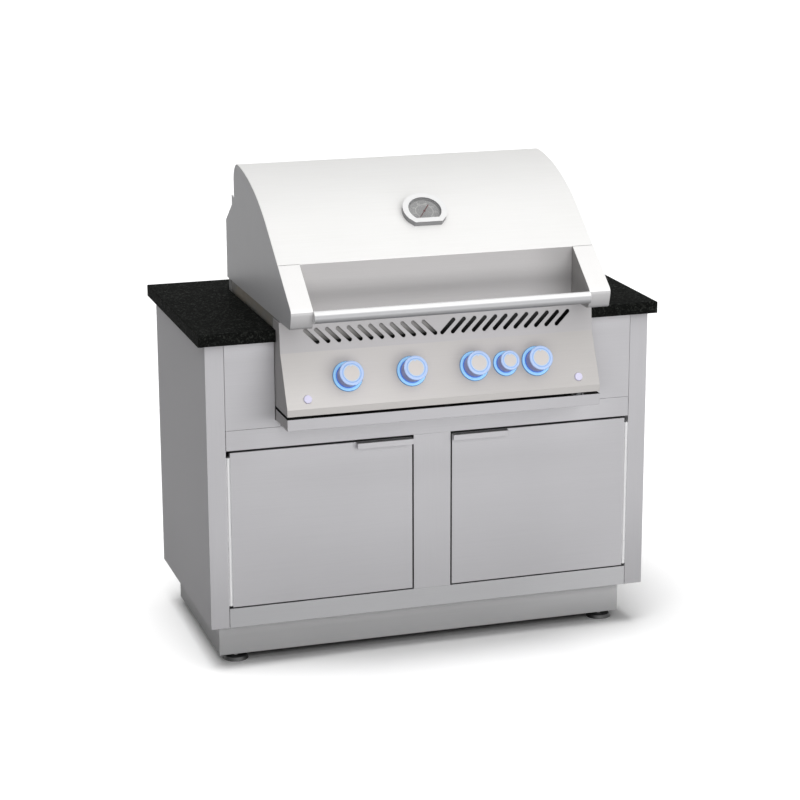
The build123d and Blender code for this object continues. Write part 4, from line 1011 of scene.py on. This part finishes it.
class KITCHEN_OT_hood(bpy.types.Operator):
    """Brushed curved hood, cast ends, polished handle with its plugs, and pivot studs"""

    bl_idname = "kitchen.hood"
    bl_label = "Hood"

    def execute(self, context):
        steel = look().steel
        lining = ((0.0, -0.4, 0.92), steel.inside)
        shell = brushed("hood_sheet", steel.hood, HOOD_GRAIN, parts=self.apron_parts(steel), lining=lining)
        paint(shell, "hood_shell")
        ends = cast("hood_casting", steel.casting, parts=self.cheek_parts(steel))
        paint(ends, "hood_end_left", "hood_end_right")
        bar = polished("polished_bar", steel.handle, metallic=0.1, parts=self.handle_parts(steel))
        paint(bar, "handle_bar")
        # The plugs take the ends' pale tone: painted light.
        self.end_caps(polished("polished_caps", steel.handle_tip, metallic=0.1))
        paint(polished("polished_studs", steel.handle, metallic=0.1), "hood_pivot_studs")
        return {"FINISHED"}

    def apron_parts(self, steel):
        """The apron below the curved sheet, darker than the sheet as painted shade under the hood's lip, and
        darker again at its right end as painted shade.
        """
        painted_shade = ("Z", BELOW, LIP_Z, shade(steel.apron, 0.80), "X", (0.22, 0.36), ABOVE)
        return [("Z", BELOW, LIP_Z, shade(steel.apron, 1.07)), painted_shade]

    def cheek_parts(self, steel):
        """The cheeks' upright fronts, darker low down, their outer sides and their inner faces, all darker than
        the pale sloping tops as painted shade.
        """
        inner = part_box("hood_end_right")[0].x + END_DEPTH
        return [
            ("Z", BELOW, NOSE_Z, shade(steel.cheek, 1.08)),
            ("Z", BELOW, (0.905, 0.950), shade(steel.cheek, 0.72)),
            *flat_ends("hood_end_right", steel.hood_side),
            ("X", -inner, inner, steel.cheek_inside),
        ]

    def handle_parts(self, steel):
        """The handle's lower side in painted shade, a painted highlight along its upper side, and its ends in
        painted light.
        """
        return [
            ("Z", BELOW, (0.926, 0.940), shade(steel.handle, 0.6)),
            ("Z", (0.944, 0.950), ABOVE, steel.handle_top),
            *flat_ends("handle_bar", steel.handle_tip),
        ]

    def end_caps(self, metal):
        """A dished plug in each end of the handle's tube."""
        low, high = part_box("handle_bar")
        middle, radius = (low + high) / 2, (high.z - low.z) / 2 - TUBE_WALL
        wall, brim, dish = 0.0030, 0.0036, 0.0026  # depths in the tube
        rings = [(0.0, 0.0), (radius, 0.0), (radius, wall), (radius * 0.9, brim), (0.0, dish)]
        mesh = bmesh.new()
        for side in (-1, 1):
            end = Matrix.Translation((side * high.x, middle.y, middle.z))
            inward = Matrix.Rotation(math.radians(-90 * side), 4, "Y")
            turned(mesh, one_finish(rings), end @ inward, CAP_STEPS)
        make_piece(mesh, "handle_end_caps", "hood", [metal])


class KITCHEN_OT_thermometer(bpy.types.Operator):
    """Chromed bezel, printed dial, red needle and glass of the hood thermometer"""

    bl_idname = "kitchen.thermometer"
    bl_label = "Thermometer"

    def execute(self, context):
        dial, joint = look().dial, joints["thermometer_turn"]
        outward = -Vector(joint["axis"]).normalized()
        level = outward.dot(Vector(joint["pos_m"]))
        wall_top, pin_foot = level + 0.0058, level - 0.0004
        walls = (tuple(outward), BELOW, wall_top, dial.bezel_wall)
        pin = (tuple(outward), pin_foot, ABOVE, dial.needle)
        paint(polished("bezel_metal", dial.bezel, parts=[walls]), "thermometer_bezel")
        paint(moulded("dial_face", dial.face, roughness=0.5, parts=[pin]), "thermometer_dial")
        paint(self.clear_glass(), "thermometer_glass")
        self.needle(dial, on_face(joint["pos_m"], outward))
        self.scale(dial)
        return {"FINISHED"}

    def needle(self, dial, matrix):
        """A slim pointer with a long tail and a domed hub, on the needle's own pin."""
        rest = matrix @ Matrix.Rotation(-SCALE_START, 4, "Z")
        tail, tip, half, thick = -0.025, 0.032, 0.0012, 0.0008
        slim, neck = half * 0.5, tip - half
        right = [(half, tail), (half, 0.0), (slim, neck)]
        left = [(-slim, neck), (-half, 0.0)]
        mesh = bmesh.new()
        prism(mesh, rest, [(-half, tail), *right, (0.0, tip), *left], thick)
        bore, edge, shoulder = 0.0017, 0.0030, 0.0026
        hub = [(bore, 0.0), (edge, 0.0), (edge, thick), (shoulder, 0.0013), (bore, 0.0017), (bore, 0.0)]
        turned(mesh, one_finish(hub), rest, HUB_STEPS)
        ink = moulded("needle_paint", dial.needle, roughness=0.4)
        make_piece(mesh, "needle_pointer", "thermometer_needle", [ink], ["thermometer_needle"])

    def clear_glass(self):
        """Thin clear glass with a trace of dust."""
        material, nodes = finish("dial_glass")
        dust = nodes.noise(160.0, detail=4.0)
        nodes.surface(
            base_color=(0.97, 0.98, 0.98),
            roughness=dust * 0.06 + 0.02,
            alpha=dust * 0.04 + 0.03,
            specular_ior_level=0.2,
        )
        return material

    def scale(self, dial):
        """Ticks, numbers and an arc printed on the dial."""
        joint = joints["thermometer_turn"]
        outward = -Vector(joint["axis"])
        under_needle, ink = 0.0012, 0.00012
        matrix = on_face(Vector(joint["pos_m"]) - outward * under_needle, outward)
        lowest, rise, main_every = 100, 20, 5
        mesh = bmesh.new()
        for step in range(dial.steps + 1):
            angle = SCALE_START + SCALE_SWEEP * step / dial.steps
            main = step % main_every == 0
            width, length = (0.0009, dial.tick) if main else (0.0005, dial.tick * 0.55)
            spot = self.spot(angle, dial.radius - length / 2)
            if self.on_dial(spot.translation):
                plate(mesh, matrix @ spot, width, length, ink, 0)
            if main:
                self.number(mesh, matrix, str(lowest + rise * step), angle, dial, ink)
        self.arc(mesh, matrix, dial, ink)
        make_piece(mesh, "dial_print", "hood", [moulded("dial_ink", dial.marks, roughness=0.5)])

    def arc(self, mesh, matrix, dial, ink):
        """The printed arc inside the numbers, in short lengths that overlap a little."""
        count, overlap, width = 2 * dial.steps, 1.04, 0.0012
        turn = SCALE_SWEEP / count
        for step in range(count):
            spot = self.spot(SCALE_START + turn * (step + 0.5), dial.arc)
            plate(mesh, matrix @ spot, overlap * dial.arc * turn, width, ink, 0)

    def spot(self, angle, radius):
        """A place on the dial, turned to face its middle."""
        return Matrix.Rotation(-angle, 4, "Z") @ Matrix.Translation((0, radius, 0))

    def on_dial(self, spot):
        """Whether a mark keeps clear of the dial's flat lower edge."""
        flat_edge = -0.0255
        return spot.y > flat_edge

    def number(self, mesh, matrix, text, angle, dial, ink):
        """One printed number, upright on the dial, inside the ticks."""
        reach = dial.radius - dial.tick - dial.number * 0.95
        spot = Vector((reach * math.sin(angle), reach * math.cos(angle), 0))
        if not self.on_dial(spot - Vector((0, dial.number / 2, 0))):
            return
        curve = bpy.data.curves.new("number", "FONT")
        curve.body = text
        curve.size = dial.number
        curve.extrude = ink / 2
        curve.align_x = "CENTER"
        curve.align_y = "CENTER"
        curve.resolution_u = 3
        holder = bpy.data.objects.new("number", curve)
        shape = bpy.data.meshes.new_from_object(holder)
        shape.transform(matrix @ Matrix.Translation(spot + Vector((0, 0, ink / 2))))
        mesh.from_mesh(shape)
        bpy.data.objects.remove(holder)


class KITCHEN_OT_feet(bpy.types.Operator):
    """Black pads and bright threaded stems of the levelling feet"""

    bl_idname = "kitchen.feet"
    bl_label = "Feet"

    def execute(self, context):
        fittings = look().fittings
        material, nodes = finish("foot_pad_and_stem")
        stem = nodes.axis("Z") > PAD_TOP_Z
        grain = nodes.noise(900.0)
        thread = nodes.node(
            "ShaderNodeTexWave",
            {"wave_type": "BANDS", "bands_direction": "Z"},
            {"Vector": nodes.place(1.0), "Scale": 210.0},
            "Fac",
        )
        nodes.surface(
            base_color=nodes.blend(stem, fittings.pad, fittings.stem),
            metallic=stem * 0.8,
            roughness=grain * 0.15 + 0.35,
            normal=nodes.bump(thread * stem + grain * 0.1, strength=0.5, distance=0.0006),
        )
        paint(material, *FEET)
        return {"FINISHED"}


class KITCHEN_OT_stage(bpy.types.Operator):
    """Pale floor, soft studio light and the camera"""

    bl_idname = "kitchen.stage"
    bl_label = "Stage"

    def execute(self, context):
        stage = look().stage
        context.scene.view_settings.view_transform = "Standard"
        floor = self.floor(stage)
        self.surroundings(stage)
        self.sun("key_light", (0.25, -0.84, 0.48), stage.key, 85, floor, "EXCLUDE")
        self.softbox("front_light", (0.10, -1.45, 0.70), stage.front, floor)
        self.sun("top_light", (0.05, -0.35, 0.93), stage.top, 120, floor, "EXCLUDE")
        self.sun("floor_light", (-0.11, -0.135, 1.0), stage.ground, 34, floor, "INCLUDE")
        self.sun("floor_fill", (0.0, 0.0, 1.0), stage.fill, 150, floor, "INCLUDE")
        self.camera(stage)
        return {"FINISHED"}

    def seen(self, nodes):
        """One for rays that show the background, straight or in metal and glass."""
        rays = [f"Is {kind} Ray" for kind in ("Camera", "Glossy", "Transmission")]
        camera, glossy, through = [nodes.node("ShaderNodeLightPath", output=ray) for ray in rays]
        return camera | glossy | through

    def floor(self, stage):
        """A wide pale floor that sends little light up to the part."""
        size = 60.0
        corners = [(-size, -size, 0), (size, -size, 0), (size, size, 0), (-size, size, 0)]
        data = bpy.data.meshes.new("floor")
        data.from_pydata(corners, [], [(0, 1, 2, 3)])
        material, nodes = finish("pale_floor")
        tone = nodes.blend(self.seen(nodes), stage.bounce, stage.floor)
        nodes.surface(base_color=tone, roughness=0.9, specular_ior_level=0.0)
        data.materials.append(material)
        floor = bpy.data.objects.new("floor", data)
        bpy.context.scene.collection.objects.link(floor)
        return floor

    def surroundings(self, stage):
        """A white background with a low level of light."""
        world = bpy.data.worlds.new("studio")
        world.use_nodes = True
        bpy.context.scene.world = world
        nodes = Nodes(world.node_tree)
        tone = nodes.blend(self.seen(nodes), (stage.ambient,) * 3, (1.0, 1.0, 1.0))
        light = nodes.node("ShaderNodeBackground", None, {"Color": tone, "Strength": 1.0})
        nodes.node("ShaderNodeOutputWorld", None, {"Surface": light})

    def sun(self, name, towards, strength, spread, floor, share):
        """A broad soft light from far away, with its spread in degrees."""
        lamp = bpy.data.lights.new(name, "SUN")
        lamp.energy = strength
        lamp.angle = math.radians(spread)
        self.hang(name, lamp, towards, floor, share)

    def softbox(self, name, place, power, floor):
        """A wide low lamp that faces the doors and leaves the floor out."""
        lamp = bpy.data.lights.new(name, "AREA")
        lamp.energy = power
        lamp.shape = "RECTANGLE"
        lamp.size, lamp.size_y = 1.45, 0.4
        holder = self.hang(name, lamp, (0.0, -1.0, 0.0), floor, "EXCLUDE")
        holder.location = place
        holder.visible_camera = False

    def hang(self, name, lamp, towards, floor, share):
        """Aims a lamp and says whether it leaves the floor out or lights it alone."""
        holder = bpy.data.objects.new(name, lamp)
        holder.rotation_mode = "QUATERNION"
        holder.rotation_quaternion = Vector(towards).to_track_quat("Z", "Y")
        bpy.context.scene.collection.objects.link(holder)
        lit = bpy.data.collections.new(f"{name}_receivers")
        lit.objects.link(floor)
        lit.collection_objects[0].light_linking.link_state = share
        holder.light_linking.receiver_collection = lit
        return holder

    def camera(self, stage):
        """The camera at the photograph's viewing angle."""
        data = bpy.data.cameras.new("camera")
        data.lens = stage.lens
        data.sensor_width = 36.0
        data.clip_end = 200.0
        camera = bpy.data.objects.new("camera", data)
        back = -Vector(stage.aim).normalized()
        right = Vector((0, 0, 1)).cross(back).normalized()
        turn = Matrix((right, back.cross(right), back)).transposed().to_4x4()
        camera.matrix_world = Matrix.Translation(stage.place) @ turn @ Matrix.Rotation(stage.roll, 4, "Z")
        bpy.context.scene.collection.objects.link(camera)
        bpy.context.scene.camera = camera


class KITCHEN_PT_sidebar(bpy.types.Panel):
    """Lists the pieces and the settings"""

    bl_idname = "KITCHEN_PT_sidebar"
    bl_label = "Outdoor kitchen"
    bl_space_type = "VIEW_3D"
    bl_region_type = "UI"
    bl_category = "Kitchen"

    def draw(self, context):
        for operator in OPERATORS:
            self.layout.operator(operator.bl_idname)
        settings = context.scene.kitchen_look
        for part in ("steel", "stone", "grill", "fittings", "knobs", "dial", "stage"):
            box = self.layout.box()
            box.label(text=part.title())
            group = getattr(settings, part)
            for key in group.bl_rna.properties.keys():
                if key not in ("rna_type", "name"):
                    box.prop(group, key)


OPERATORS = (
    KITCHEN_OT_cabinet,
    KITCHEN_OT_doors,
    KITCHEN_OT_worktop,
    KITCHEN_OT_firebox,
    KITCHEN_OT_control_panel,
    KITCHEN_OT_knobs,
    KITCHEN_OT_ring_lights,
    KITCHEN_OT_hood,
    KITCHEN_OT_thermometer,
    KITCHEN_OT_feet,
    KITCHEN_OT_stage,
)
GROUPS = (SteelLook, StoneLook, GrillLook, FittingLook, KnobLook, DialLook, StageLook, KitchenLook)


def register():
    for kind in (*GROUPS, *OPERATORS, KITCHEN_PT_sidebar):
        bpy.utils.register_class(kind)
    bpy.types.Scene.kitchen_look = PointerProperty(
        type=KitchenLook, name="Kitchen", description="Sizes, colours and light of the outdoor kitchen module"
    )


def unregister():
    del bpy.types.Scene.kitchen_look
    for kind in reversed((*GROUPS, *OPERATORS, KITCHEN_PT_sidebar)):
        bpy.utils.unregister_class(kind)


def main():
    register()
    bpy.ops.kitchen.cabinet()
    bpy.ops.kitchen.doors()
    bpy.ops.kitchen.worktop()
    bpy.ops.kitchen.firebox()
    bpy.ops.kitchen.control_panel()
    bpy.ops.kitchen.knobs()
    bpy.ops.kitchen.ring_lights()
    bpy.ops.kitchen.hood()
    bpy.ops.kitchen.thermometer()
    bpy.ops.kitchen.feet()
    bpy.ops.kitchen.stage()
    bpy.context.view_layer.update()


if __name__ == "__main__":
    main()
